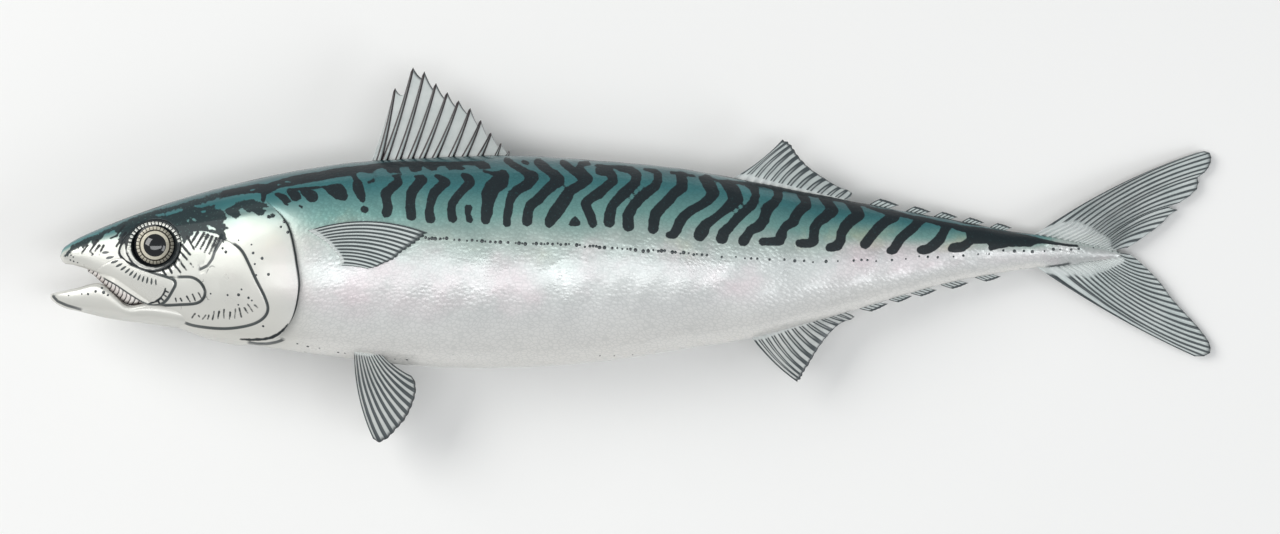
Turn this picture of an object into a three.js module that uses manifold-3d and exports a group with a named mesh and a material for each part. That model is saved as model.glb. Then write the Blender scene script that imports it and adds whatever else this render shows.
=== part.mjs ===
// A whole raw mackerel, lying on its right side with the left side up. Millimetres, +Z up.
// The head points to -X and the back to +Y. The body, jaws, gill covers and fins are one solid,
// and each eye is a solid of its own in its socket.
//
// The fish is modelled straight, about the flat plane that divides its two sides (z = 0), with
// x as the distance behind the lower jaw's tip and y as the height above the body's axis.
// It is then bent down at the tail, pressed flat where it lies, and centred on its own box.
import * as THREE from "three";
import { mergeVertices } from "three/addons/utils/BufferGeometryUtils.js";
import Module from "manifold-3d";

const wasm = await Module();
wasm.setup();

// ---------- driving dimensions ----------
const totalLength = 349.5; // lower jaw tip to the tips of the tail lobes
const bodyWidth = 42.4; // across both flanks at the thickest section
const lieHeight = 20; // mid-plane above the table amidships: less than half the width, so the flank is pressed flat
const pointsAround = 32; // points in a body section
const sectionPower = 0.92; // 1 is an ellipse, less is a fuller flank
const lipWall = 2.2; // thickness of the lips and cheeks round the open mouth
const eye = { x: 31.8, y: 2.9, radius: 6.8, depth: 5.2, proud: 1.1, gap: 0.3 };

// ---------- curves ----------
// A smooth reading of y at any x, through [x, y] points.
function reading(points) {
  const xs = points.map((p) => p[0]);
  const ys = points.map((p) => p[1]);
  const cubic = new THREE.CubicInterpolant(xs, ys, 1);
  return (x) => cubic.evaluate(x)[0];
}

// A smooth line through [x, y] points, read by its share of length from 0 to 1.
function line(points) {
  const curve = new THREE.SplineCurve(points.map(([x, y]) => new THREE.Vector2(x, y)));
  return (t) => curve.getPointAt(THREE.MathUtils.clamp(t, 0, 1));
}

// Each outline is a list of [distance behind the lower jaw's tip, height above the axis].
const backLine = reading([
  [3, -0.3], [3.6, 1.4], [5.4, 3.2], [9, 5.3], [18, 9.2], [30, 13.7], [42, 17.6], [54, 20.9],
  [72, 24.9], [90, 27.6], [114, 29.3], [138, 29.7], [156, 29], [180, 27], [204, 23.3],
  [240, 16.3], [273, 10.2], [289, 7.1], [297, 6.1], [310, 3.6], [totalLength - 28, 1],
]);
const bellyLine = reading([
  [3, -0.7], [3.8, -2], [7.2, -3.1], [11.1, -4.3], [15.9, -5.8], [19.8, -8], [24, -11.2],
  [30, -16], [38, -20.6], [48, -24.3], [60, -26.8], [78, -29.5], [105, -32.7], [135, -34],
  [165, -31.8], [195, -27.5], [210, -25], [237, -17.8], [252, -13.2], [265, -9.6], [278, -6.7],
  [297, -3.6], [310, -2.3], [totalLength - 28, -1],
]);
const halfWidthLine = reading([
  [3, 0.6], [3.6, 2], [5.4, 3.5], [9, 5.1], [18, 8], [30, 10.9], [42, 13.4], [54, 15.6],
  [72, 18.4], [90, 20.1], [120, bodyWidth / 2], [150, 20.8], [180, 18.6], [204, 15.6], [222, 13],
  [240, 10.4], [257, 8.2], [273, 6.3], [289, 5], [297, 4.5], [310, 3], [totalLength - 28, 1.2],
]);
// How full the section is below its widest point: the roof of the mouth is flat between the
// lips, and the throat between the jaw bones is still squarer than the flank.
const lowerPowerLine = reading([
  [3, sectionPower], [8, 0.62], [14, 0.5], [26, 0.5], [36, 0.68], [50, 0.76], [72, 0.86],
  [105, sectionPower], [totalLength, sectionPower],
]);
const jaw = {
  top: reading([
    [0, -12.4], [0.9, -11.2], [8.4, -9.4], [14, -7.9], [16.5, -8.2], [20, -11], [24, -14.2],
    [34, -15], [56, -17],
  ]),
  bottom: reading([
    [0, -12.6], [0.9, -13.8], [3.6, -15.6], [9, -17], [18, -19.1], [30, -20.7], [42, -22.3],
    [56, -23.6],
  ]),
  halfWidth: reading([
    [0, 0.3], [0.9, 1.9], [3.6, 3.7], [9, 5.6], [18, 8], [28, 9.6], [36, 10], [44, 9.6], [56, 7.4],
  ]),
};

// ---------- solids from skins ----------
function solidFrom(positions, triangles) {
  const mesh = new wasm.Mesh({
    numProp: 3,
    vertProperties: Float32Array.from(positions),
    triVerts: Uint32Array.from(triangles),
  });
  mesh.merge();
  return new wasm.Manifold(mesh);
}

function solidOf(geometry) {
  const bare = geometry.clone();
  bare.deleteAttribute("normal");
  bare.deleteAttribute("uv");
  const merged = mergeVertices(bare, 1e-4);
  return solidFrom(merged.attributes.position.array, merged.index.array);
}

function geometryOf(solid) {
  const mesh = solid.getMesh();
  const geometry = new THREE.BufferGeometry();
  geometry.setAttribute("position", new THREE.BufferAttribute(mesh.vertProperties, 3));
  geometry.setIndex(new THREE.BufferAttribute(mesh.triVerts, 1));
  return geometry;
}

// One point of an oval section, at a share of a turn from the back's ridge round the left flank.
function sectionPoint(section, share) {
  const { top, bottom, halfWidth, widest, upperPower = sectionPower, lowerPower = sectionPower } = section;
  const c = Math.cos(share * 2 * Math.PI);
  const s = Math.sin(share * 2 * Math.PI);
  const power = c > 0 ? upperPower : lowerPower;
  const middle = bottom + widest * (top - bottom);
  const rise = (c > 0 ? top - middle : middle - bottom) * Math.sign(c) * Math.abs(c) ** power;
  return [middle + rise, halfWidth * Math.sign(s) * Math.abs(s) ** power];
}

// A closed skin over the sections at the given stations, drawn to a point at each end.
function loft(stations, sectionAt, around = pointsAround) {
  const positions = [];
  const triangles = [];
  stations.forEach((x) => {
    for (let j = 0; j < around; j++) {
      const [y, z] = sectionPoint(sectionAt(x), j / around);
      positions.push(x, y, z);
    }
  });
  const endPoint = (x) => {
    const { top, bottom } = sectionAt(x);
    positions.push(x, (top + bottom) / 2, 0);
    return positions.length / 3 - 1;
  };
  const nose = endPoint(stations[0] - 0.2);
  const tail = endPoint(stations.at(-1) + 0.3);
  for (let j = 0; j < around; j++) {
    const k = (j + 1) % around;
    triangles.push(nose, k, j);
    const last = (stations.length - 1) * around;
    triangles.push(tail, last + j, last + k);
    for (let i = 0; i < stations.length - 1; i++) {
      const a = i * around;
      const b = a + around;
      triangles.push(a + j, b + k, b + j, a + j, a + k, b + k);
    }
  }
  return solidFrom(positions, triangles);
}

// A thin wavy plate between columns (across) and rows (root to rim), both faces split alike.
function plate(columns, rows, middleAt, halfThicknessAt) {
  const positions = [];
  const triangles = [];
  for (const side of [1, -1])
    for (let i = 0; i <= rows; i++)
      for (let j = 0; j <= columns; j++) {
        const [x, y, z] = middleAt(j, i);
        positions.push(x, y, z + side * halfThicknessAt(j, i));
      }
  const back = (rows + 1) * (columns + 1);
  const at = (i, j) => i * (columns + 1) + j;
  for (let i = 0; i < rows; i++)
    for (let j = 0; j < columns; j++) {
      const [a, b, c, d] = [at(i, j), at(i, j + 1), at(i + 1, j + 1), at(i + 1, j)];
      triangles.push(a, b, c, a, c, d, back + a, back + c, back + b, back + a, back + d, back + c);
    }
  const wall = (a, b) => triangles.push(a, back + a, back + b, a, back + b, b);
  for (let j = 0; j < columns; j++) {
    wall(at(0, j), at(0, j + 1));
    wall(at(rows, j + 1), at(rows, j));
  }
  for (let i = 0; i < rows; i++) {
    wall(at(i + 1, 0), at(i, 0));
    wall(at(i, columns), at(i + 1, columns));
  }
  const made = solidFrom(positions, triangles);
  return made.volume() < 0 ? solidFrom(positions, triangles.reverse()) : made;
}

const evenly = (from, to, steps) =>
  Array.from({ length: steps + 1 }, (_, i) => from + ((to - from) * i) / steps);

function join(solids) {
  return solids.reduce((all, next) => all.add(next));
}

// ---------- body and head ----------
const bodyStations = [
  3, 3.4, 4.2, 5.6, 7.6, ...evenly(10.5, 75, 16), ...evenly(82, 308, 26), 315, totalLength - 28,
];

function bodySection(x) {
  return {
    top: backLine(x),
    bottom: bellyLine(x),
    halfWidth: halfWidthLine(x),
    widest: 0.53,
    lowerPower: lowerPowerLine(x),
  };
}

// How far the flank's skin stands from the mid-plane at a place on the side.
function flankAt(x, y) {
  const { top, bottom, halfWidth, widest, lowerPower } = bodySection(x);
  const middle = bottom + widest * (top - bottom);
  const [reach, power] = y > middle ? [top - middle, sectionPower] : [middle - bottom, lowerPower];
  const c = Math.min(1, Math.abs(y - middle) / reach) ** (1 / power);
  return halfWidth * Math.sqrt(1 - c * c) ** power;
}

const lowerJaw = loft([0.2, 0.6, 1.4, 2.6, 4.4, ...evenly(7, 55, 12)], (x) => ({
  top: jaw.top(x),
  bottom: jaw.bottom(x),
  halfWidth: jaw.halfWidth(x),
  widest: 0.66,
  upperPower: 0.62,
}), 20);

// The skin that closes the gape behind the lips, a little inside the upper jaw's edge.
const gapeSkin = loft(evenly(14.5, 31, 4), (x) => ({
  top: bellyLine(x) + 3.5,
  bottom: jaw.top(x) - 3,
  halfWidth: jaw.halfWidth(x) - 0.9,
  widest: 0.5,
}), 16);

// The open mouth: a hollow between the jaws that leaves lips and cheeks standing.
const mouthDepth = 40; // how far back the hollow goes
const mouthHollow = loft(evenly(-1.5, mouthDepth, 9), (x) => {
  const inward = Math.max(0, x);
  const narrowing = Math.min(1, (mouthDepth + 2 - x) / 12);
  return {
    top: THREE.MathUtils.lerp(-2.6, -9.5, inward / mouthDepth),
    bottom: THREE.MathUtils.lerp(-12.2, -17.2, Math.min(1, inward / 20)) + 0.2 * Math.max(0, x - 20),
    halfWidth: Math.max(0.7, halfWidthLine(Math.max(x, 3)) - lipWall) * narrowing,
    widest: 0.5,
  };
}, 14);

// A bony plate in relief: a swollen copy of the head, kept only inside the plate's outline. It
// sinks into the head at the front, where x is from, and stands proud by rise at its rear edge.
function raisedPlate({ from, to, rise, power = 1, outline }) {
  const sunk = 0.3;
  const swollen = loft(
    bodyStations.filter((x) => x > from && x < to),
    (x) => {
      const lift = (rise + sunk) * ((x - from) / (to - from)) ** power - sunk;
      const base = bodySection(x);
      return { ...base, halfWidth: base.halfWidth + lift };
    },
  );
  const points = new THREE.SplineCurve(outline.map(([x, y]) => new THREE.Vector2(x, y)));
  const shape = new THREE.Shape(points.getPoints(outline.length * 2));
  const prism = new THREE.ExtrudeGeometry(shape, { depth: 2 * bodyWidth, bevelEnabled: false, steps: 1 });
  prism.translate(0, 0, -bodyWidth);
  return swollen.intersect(solidOf(prism));
}

const gillCover = raisedPlate({
  from: 34,
  to: 80,
  rise: 1.5,
  outline: [
    [50, 16.5], [62, 15.5], [67, 14.4], [71.5, 8.9], [73.8, 0.3], [74.9, -5.4], [74.9, -9.4],
    [73.9, -14.6], [72, -19], [69, -22.6], [64, -24.8], [57, -25.4], [50, -24.4], [44, -10],
  ],
});
const cheekPlate = raisedPlate({
  from: 26,
  to: 74,
  rise: 2.8,
  power: 2,
  outline: [
    [44, 8], [54.5, 4], [57.7, 1.5], [61.7, -6.6], [65.7, -15.8], [64.3, -19.2], [60, -21],
    [54, -21.8], [45, -21], [39, -19.6], [36, -8],
  ],
});
const upperJawPlate = raisedPlate({
  from: 6,
  to: 44,
  rise: 1.3,
  power: 0.35,
  outline: [
    [16, -3.4], [22, -1.9], [27, -3.9], [33, -5.9], [37.6, -8], [37.5, -10], [35.4, -13.6],
    [32, -15.2], [28.4, -14.3], [24, -10.8], [19.8, -7.9], [16.4, -6],
  ],
});
const upperJawEndPlate = raisedPlate({
  from: 20,
  to: 54,
  rise: 1.2,
  power: 0.5,
  outline: [
    [30, -8.5], [37, -6.7], [42.6, -6.9], [46.5, -9.6], [46.6, -12.8], [44, -14.5], [37, -14.7],
    [30, -14.6],
  ],
});

// ---------- fins ----------
// A fin is a fan of rays from its root line to its rim. Columns alternate ray and membrane, so
// the rays stand proud and the rim dips between them. settle gives z for a place on the fin.
function fin({ rays, root, rim, bow = 0, embed = 2.5, rows = 3, thick, ridge = 0.22, dip = 0.03, settle }) {
  const columns = 2 * (rays - 1);
  const shareOut = (j, i) => (i === 0 ? 0 : (i - 1) / (rows - 1)) * (j % 2 ? 1 - dip : 1);
  const placeAt = (j, i) => {
    const start = root(j / columns);
    const end = rim(j / columns);
    const ray = end.clone().sub(start);
    const side = new THREE.Vector2(-ray.y, ray.x);
    const s = shareOut(j, i);
    const point = start.clone().addScaledVector(ray, s).addScaledVector(side, bow * 4 * s * (1 - s));
    if (i === 0) point.addScaledVector(ray.normalize(), -embed);
    return point;
  };
  const middleAt = (j, i) => {
    const p = placeAt(j, i);
    return [p.x, p.y, settle(p.x, p.y, shareOut(j, i))];
  };
  const halfThicknessAt = (j, i) =>
    THREE.MathUtils.lerp(thick[0], thick[1], shareOut(j, i)) / 2 + (j % 2 ? 0 : ridge);
  return plate(columns, rows, middleAt, halfThicknessAt);
}

// A fin in the mid-plane sags a little towards its rim.
const sagging = (sag) => (x, y, s) => -sag * s * s;

const spineTips = (t) => {
  const [first, tallest, last] = [[103.5, 50.1], [108.9, 56.4], [137.7, 31.2]];
  const [a, b, share] = t < 0.1 ? [first, tallest, t * 10] : [tallest, last, (t - 0.1) / 0.9];
  return new THREE.Vector2(...a).lerp(new THREE.Vector2(...b), share);
};
const firstDorsal = fin({
  rays: 11,
  root: line([[97.2, 27.6], [114, 28.4], [135, 28.9]]),
  rim: spineTips,
  bow: -0.02,
  thick: [1.3, 0.7],
  ridge: 0.3,
  dip: 0.09,
  settle: sagging(2.2),
});
const secondDorsal = fin({
  rays: 10,
  root: line([[204.5, 22.6], [222, 19], [238.5, 16]]),
  rim: line([[220, 34.6], [222.6, 33], [226, 27.9], [231, 24.3], [236, 21], [240.6, 17.8]]),
  bow: 0.03,
  thick: [1.3, 0.7],
  settle: sagging(1.2),
});
const analFin = fin({
  rays: 10,
  root: line([[210.5, -24.2], [225, -20.4], [238, -16.6]]),
  rim: line([[224.3, -38], [226.6, -35.6], [230.2, -28.7], [234.5, -22.5], [238.4, -20], [241.4, -18.6]]),
  bow: 0.03,
  thick: [1.3, 0.7],
  settle: sagging(1.2),
});
const upperTailLobe = fin({
  rays: 13,
  root: line([[295, 5], [302, 5], [312, 3.4], [319, 0.8]]),
  rim: line([
    [345.5, 31.4], [348.6, 30.9], [349.2, 28.6], [346.8, 24.6], [344.6, 19.9], [339.6, 16.2],
    [338.6, 13.6], [334.2, 9.8], [330, 5.9], [323.6, 2],
  ]),
  bow: 0.055,
  embed: 4,
  rows: 4,
  thick: [3, 0.8],
  settle: sagging(0.2),
});
const lowerTailLobe = fin({
  rays: 13,
  root: line([[295, -2.6], [302, -3.6], [312, -2.2], [318, -0.1]]),
  rim: line([
    [343, -30.4], [347.6, -30], [348.8, -27.8], [345.8, -22.6], [340, -15.4], [332.6, -7.2],
    [327.4, -1.6], [324.4, 0.8],
  ]),
  bow: -0.035,
  embed: 4,
  rows: 4,
  thick: [3, 0.8],
  settle: sagging(0.2),
});

// The breast fin lies back along the flank, one on each side, with its inner face in the flank.
const breastFin = (side) =>
  fin({
    rays: 11,
    root: line([[79, 7], [82.6, 4.4], [86.4, 1], [88, -2.9]]),
    rim: line([[113.2, 6.6], [109, 3.2], [105, 0.4], [101.4, -2], [96.6, -3.9], [92, -3.8]]),
    bow: 0.075,
    embed: 0.5,
    thick: [1.8, 2.2],
    ridge: 0.16,
    settle: (x, y) => side * flankAt(x, y),
  });

// The belly fins stand side by side, spread a little apart.
const bellyFin = (side) =>
  fin({
    rays: 8,
    root: line([[91.6, -30.6], [95.6, -30.6], [99.2, -30.2]]),
    rim: line([[98.4, -56.2], [103.6, -53], [107.4, -47.5], [109.4, -42], [109, -37], [105.6, -34.9]]),
    bow: 0.05,
    embed: 3,
    thick: [1.2, 0.7],
    settle: (x, y, s) => side * (3 + 2.4 * s) - 1.2 * s * s,
  });

// Finlets: small swept flaps in a row behind the second back fin and behind the anal fin. Each
// stands up (1) from the back's edge or down (-1) from the belly's, and is a little smaller than
// the one before it.
function finlets({ count, firstX, pitch, edge, up, height, reach }) {
  return evenly(0, count - 1, count - 1).map((i) => {
    const size = 1 - 0.07 * i;
    const at = (along, out) => {
      const x = firstX + i * pitch + along * size;
      return [x, edge(x) + up * out];
    };
    return fin({
      rays: 3,
      root: line([at(0, -0.4), at(6, -0.4)]),
      rim: line([at(3.4, height * size), at(reach, 0.75 * height * size)]),
      embed: 1.2,
      rows: 2,
      thick: [1, 0.7],
      ridge: 0.1,
      settle: sagging(0.2),
    });
  });
}
const finletRow = { count: 5, pitch: 8.85, reach: 9 };
const backFinlets = finlets({ ...finletRow, firstX: 246.5, edge: backLine, up: 1, height: 2.3 });
const bellyFinlets = finlets({ ...finletRow, firstX: 243.2, edge: bellyLine, up: -1, height: 1.9 });

// ---------- eyes ----------
const eyeZ = flankAt(eye.x, eye.y) + eye.proud - eye.depth;
function eyeball(side, grow) {
  const ball = new THREE.SphereGeometry(1, 22, 14);
  ball.scale(eye.radius + grow, eye.radius + grow, eye.depth + grow);
  ball.translate(eye.x, eye.y, side * eyeZ);
  return solidOf(ball);
}

// ---------- the whole fish ----------
const skin = join([
  loft(bodyStations, bodySection),
  gillCover,
  cheekPlate,
  upperJawPlate,
  upperJawEndPlate,
  lowerJaw,
  gapeSkin,
]).subtract(mouthHollow);

const straightFish = join([
  skin,
  firstDorsal,
  secondDorsal,
  analFin,
  upperTailLobe,
  lowerTailLobe,
  breastFin(1),
  breastFin(-1),
  bellyFin(1),
  bellyFin(-1),
  ...backFinlets,
  ...bellyFinlets,
])
  .subtract(eyeball(1, eye.gap))
  .subtract(eyeball(-1, eye.gap));

// The mid-plane's height above the table: level amidships, drooping to the tail and a little at the head.
const midPlane = reading([
  [0, lieHeight - 1.5], [40, lieHeight - 0.5], [90, lieHeight], [170, lieHeight], [204, 18.3],
  [240, 13.6], [273, 9], [297, 6.3], [320, 4.2], [totalLength, 2],
]);

function layDown(solid) {
  const geometry = geometryOf(solid);
  const position = geometry.attributes.position;
  for (let i = 0; i < position.count; i++)
    position.setZ(i, position.getZ(i) + midPlane(position.getX(i)));
  return solidFrom(position.array, geometry.index.array);
}

const table = new THREE.BoxGeometry(500, 300, 60);
table.translate(totalLength / 2, 0, -30);
const fishSolid = layDown(straightFish).subtract(solidOf(table));
const eyeSolids = { eye_left: layDown(eyeball(1, 0)), eye_right: layDown(eyeball(-1, 0)) };

// ---------- the exported group ----------
const skinMaterial = new THREE.MeshStandardMaterial({ color: 0x9fb3b4, roughness: 0.32, metalness: 0.15 });
const eyeMaterial = new THREE.MeshStandardMaterial({ color: 0x1a1c20, roughness: 0.1, metalness: 0 });

const fishGeometry = geometryOf(fishSolid);
fishGeometry.computeBoundingBox();
const centre = fishGeometry.boundingBox.getCenter(new THREE.Vector3());

const mackerel = new THREE.Group();
mackerel.position.set(-centre.x, -centre.y, 0);

const fish = new THREE.Mesh(fishGeometry, skinMaterial);
fish.name = "fish";
mackerel.add(fish);

for (const [name, solid] of Object.entries(eyeSolids)) {
  const mesh = new THREE.Mesh(geometryOf(solid), eyeMaterial);
  mesh.name = name;
  mackerel.add(mesh);
}

export default mackerel;
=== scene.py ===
# A whole raw mackerel on its right side: skin, jaws, eyes, fins and markings.
import math
import bpy
import numpy as np
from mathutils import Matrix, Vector


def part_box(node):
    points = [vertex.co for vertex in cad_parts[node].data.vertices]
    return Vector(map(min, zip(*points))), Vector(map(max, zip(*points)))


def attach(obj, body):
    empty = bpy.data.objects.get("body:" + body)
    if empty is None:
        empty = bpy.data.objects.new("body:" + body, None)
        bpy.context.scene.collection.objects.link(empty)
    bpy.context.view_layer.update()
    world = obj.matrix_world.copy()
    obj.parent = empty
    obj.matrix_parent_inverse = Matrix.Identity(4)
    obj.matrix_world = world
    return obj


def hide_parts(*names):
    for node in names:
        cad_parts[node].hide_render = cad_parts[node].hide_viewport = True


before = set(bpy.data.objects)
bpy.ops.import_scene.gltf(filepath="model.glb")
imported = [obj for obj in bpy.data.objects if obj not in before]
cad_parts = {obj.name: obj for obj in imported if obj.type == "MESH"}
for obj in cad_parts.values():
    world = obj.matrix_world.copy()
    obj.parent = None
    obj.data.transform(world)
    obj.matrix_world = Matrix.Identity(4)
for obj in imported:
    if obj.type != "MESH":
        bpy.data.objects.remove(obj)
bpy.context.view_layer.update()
fishLow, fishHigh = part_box("fish")
print("frame loaded")

mm = 0.001
rng = np.random.default_rng(23)

# The fish is described straight, in millimetres: x behind the lower jaw's tip, y above the
# body's axis, z out of the mid-plane, plus to the left side that lies on top.
lying = {
    "finTop": 56.4,  # how far the first back fin stands above the axis
    "softness": 0.5,  # how gently the flank turns flat where it lies
}
tipX = fishLow.x
axisY = fishHigh.y - lying["finTop"] * mm


def smoothLine(points):  # y at any x, through points of [x, y]
    px = np.array([p[0] for p in points], float)
    py = np.array([p[1] for p in points], float)
    secant = np.diff(py) / np.diff(px)
    slope = np.concatenate([secant[:1], (secant[1:] + secant[:-1]) / 2, secant[-1:]])

    def at(x):
        x = np.clip(np.asarray(x, float), px[0], px[-1])
        i = np.clip(np.searchsorted(px, x, side="right") - 1, 0, len(px) - 2)
        h = px[i + 1] - px[i]
        t = (x - px[i]) / h
        return (
            (1 + 2 * t) * (1 - t) ** 2 * py[i]
            + t * (1 - t) ** 2 * h * slope[i]
            + t * t * (3 - 2 * t) * py[i + 1]
            + t * t * (t - 1) * h * slope[i + 1]
        )

    return at


def bendThrough(points, steps=12, closed=False):  # a round line through the points
    p = np.array(points, float)
    if closed:
        p = np.vstack([p[-1], p, p[0], p[1]])
    else:
        p = np.vstack([2 * p[0] - p[1], p, 2 * p[-1] - p[-2]])
    t = np.linspace(0, 1, steps, endpoint=False)[:, None]
    rows = []
    for a, b, c, d in zip(p[:-3], p[1:-2], p[2:-1], p[3:]):
        bend, twist = 2 * a - 5 * b + 4 * c - d, 3 * b - a - 3 * c + d
        rows.append(0.5 * (2 * b + (c - a) * t + bend * t**2 + twist * t**3))
    line = np.vstack(rows)
    return line if closed else np.vstack([line, p[-2]])


def along(path, share):  # points of a path by its share of length
    step = np.hypot(*np.diff(path, axis=0).T[:2])
    length = np.concatenate([[0], np.cumsum(step)]) / step.sum()
    return np.stack([np.interp(share, length, path[:, k]) for k in range(path.shape[1])], -1)


def easeIn(low, high, value):
    t = np.clip((value - low) / (high - low), 0, 1)
    return t * t * (3 - 2 * t)


# The body's form: lines along the fish, through points of [x, value].
backLine = smoothLine([
    [3, -0.3], [3.6, 1.4], [5.4, 3.2], [9, 5.3], [18, 9.2], [30, 13.7], [42, 17.6], [54, 20.9],
    [72, 24.9], [90, 27.6], [114, 29.3], [138, 29.7], [156, 29], [180, 27], [204, 23.3],
    [240, 16.3], [273, 10.2], [289, 7.1], [297, 6.1], [310, 3.6], [321.5, 1],
])
bellyLine = smoothLine([
    [3, -0.7], [3.8, -2.1], [7.2, -3.4], [11.1, -4.7], [15.9, -6.8], [19.8, -9], [24, -11.8],
    [28, -14.8], [31, -17.2], [34, -19.2], [38, -21], [43, -22.7], [48, -24.3], [60, -26.8],
    [78, -29.5], [105, -32.7], [135, -34], [165, -31.8], [195, -27.5], [210, -25], [237, -17.8],
    [252, -13.2], [265, -9.6], [278, -6.7], [297, -3.6], [310, -2.3], [321.5, -1],
])
halfWidthLine = smoothLine([
    [3, 0.6], [3.6, 2], [5.4, 3.5], [9, 5.1], [18, 8], [30, 10.9], [42, 13.4], [54, 15.6],
    [72, 18.4], [90, 20.1], [120, 21.2], [150, 20.8], [180, 18.6], [204, 15.6], [222, 13],
    [240, 10.4], [257, 8.2], [273, 6.3], [289, 5], [297, 4.5], [310, 3], [321.5, 1.2],
])
# how round the section is below its widest line: 1 is an ellipse, less is fuller
lowerPowerLine = smoothLine([
    [3, 0.92], [8, 0.62], [14, 0.5], [26, 0.5], [36, 0.68], [50, 0.76], [72, 0.86], [105, 0.92],
    [322, 0.92],
])
# how high the fish's mid-plane lies over the table
midPlane = smoothLine([
    [0, 18.5], [40, 19.5], [90, 20], [170, 20], [204, 18.3], [240, 13.6], [273, 9], [297, 6.3],
    [320, 4.2], [349.5, 2],
])
upperPower = 0.92
widest = 0.53  # the widest line's share of the depth, from the belly

jaw = {
    "top": smoothLine([
        [0, -12.2], [0.3, -11.7], [0.9, -11.4], [2.4, -11], [4.5, -10.45], [8.4, -9.4], [14.6, -7.8],
        [17, -8.9], [20, -11.8], [22.6, -14.3], [24.2, -14.8], [26.4, -14.4], [29, -13.8], [34, -14],
        [40, -15.4], [56, -18],
    ]),
    "bottom": smoothLine([
        [0, -12.8], [0.3, -13.3], [0.9, -13.9], [3.6, -15.6], [9, -17], [18, -19.1], [30, -20.7],
        [42, -22.3], [56, -23.6],
    ]),
    "halfWidth": smoothLine([
        [0, 0.5], [0.3, 1.2], [0.9, 1.9], [3.6, 3.7], [9, 5.6], [18, 8], [28, 9.6], [36, 10],
        [44, 9.6], [56, 7.4],
    ]),
    "power": 0.62,
    "widest": 0.66,
    "tuck": {"from": 38, "to": 52, "share": 0.3},  # how it narrows into the cheek
    "trough": 2.8,
    "lip": 1.3,
    "chinGroove": {"at": 2.6, "width": 0.8, "depth": 0.5},
    "lowTone": 0.06,  # how dark the lower edge is, and how much darker the upper one
    "toneSpan": 0.3,
    # the crease under the lip, darkened with painted shade: a patch's edge, and the stroke that shows part
    # of it
    "creasePatch": [(1, -12.4), (2.4, -13.9), (5.2, -15.1), (9.4, -16.3), (11, -14), (6, -12), (2, -11)],
    "creaseShown": [(1, -12.6, 0.7), (2.4, -14.1, 0.7), (5.2, -15.3, 0.7), (9, -16.4, 0.6)],
}

gill = {
    "edge": [
        (64, 17.5), (66.4, 14.8), (68, 13.2), (69.5, 11.8), (71.6, 8.9), (72.9, 4.9), (73.8, 0.3),
        (74.7, -5.4), (75, -9.4), (74.2, -14.6), (72.9, -18.6), (70.2, -22.5), (66.5, -24.9),
        (62, -25.9), (56, -26),
    ],
    "rear": 75.0,  # where the cover ends furthest back
    "rise": 1.5,
    "swellFrom": 36,  # where the swelling starts, and how long it takes
    "swellOver": 38,
}


def toRow(x, y, z):  # fish millimetres to metres in the row frame, laid down and pressed flat
    height = z + midPlane(x)
    height = 0.5 * (height + np.sqrt(height**2 + lying["softness"] ** 2))
    return np.stack([tipX + x * mm, axisY + y * mm, height * mm], -1)


def sectionPoint(top, bottom, half, share, power, upper=upperPower, middleShare=widest):
    # y and z on a section, by the share of the way round it from the back
    c, s = np.cos(share * 2 * np.pi), np.sin(share * 2 * np.pi)
    p = np.where(c > 0, upper, power)
    middle = bottom + middleShare * (top - bottom)
    reach = np.where(c > 0, top - middle, middle - bottom)
    return middle + reach * np.sign(c) * np.abs(c) ** p, half * np.sign(s) * np.abs(s) ** p


def flankAt(x, y):  # how far the body's side is from the mid-plane
    top, bottom, half, power = backLine(x), bellyLine(x), halfWidthLine(x), lowerPowerLine(x)
    middle = bottom + widest * (top - bottom)
    reach = np.where(y > middle, top - middle, middle - bottom)
    p = np.where(y > middle, upperPower, power)
    c = np.clip(np.abs(y - middle) / reach, 0, 0.9995) ** (1 / p)
    return half * np.sqrt(1 - c * c) ** p


def jawHalf(x):
    tuck = jaw["tuck"]
    return jaw["halfWidth"](x) * (1 - tuck["share"] * easeIn(tuck["from"], tuck["to"], x))


def jawFlankAt(x, y):
    top, bottom = jaw["top"](x), jaw["bottom"](x)
    middle = bottom + jaw["widest"] * (top - bottom)
    reach = np.where(y > middle, top - middle, middle - bottom)
    p = np.where(y > middle, jaw["power"], upperPower)
    c = np.abs(y - middle) / reach
    inside = np.sqrt(1 - np.clip(c, 0, 0.999) ** (2 / p)) ** p
    return np.where(c < 1, jawHalf(x) * inside, 0)


# the folds of skin at the corners of the gape, and their lower edge
pleats = {
    "pitch": 1.6048,
    "depth": 0.4,
    "from": 11.4,
    "to": 31.0,
    "inset": 1.0,  # from the jaw's own side
    "lean": 0.62,
    "sharpness": 0.8,
    "power": 0.6,
    "low": smoothLine([
        [11, -4.8], [13, -6.1], [15, -7.8], [18, -10.6], [21.1, -13.3], [22.8, -14.6], [24.2, -15.1],
        [26, -15], [27.6, -14.6], [32, -14.9],
    ]),
}


def foldHalf(x):  # how far the folds at the corner of the gape reach to each side
    return jaw["halfWidth"](x) - pleats["inset"] - 1.8 * easeIn(20, 12, x)


def swellAt(x, edgeX):  # how far the gill cover swells out of the head in front of its rear edge
    start = gill["swellFrom"]
    return gill["rise"] * easeIn(start, start + gill["swellOver"], x + (gill["rear"] - edgeX))


gillPath = bendThrough(gill["edge"])


def gillLift(x, y):  # the same swelling for any point on the side view, none behind the edge
    edgeX = np.interp(-y, -gillPath[:, 1], gillPath[:, 0], left=64, right=56)
    between = easeIn(18.5, 13, y) * easeIn(-27.5, -25, y)
    return swellAt(x, edgeX) * between * (x <= edgeX + 0.05)


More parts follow.
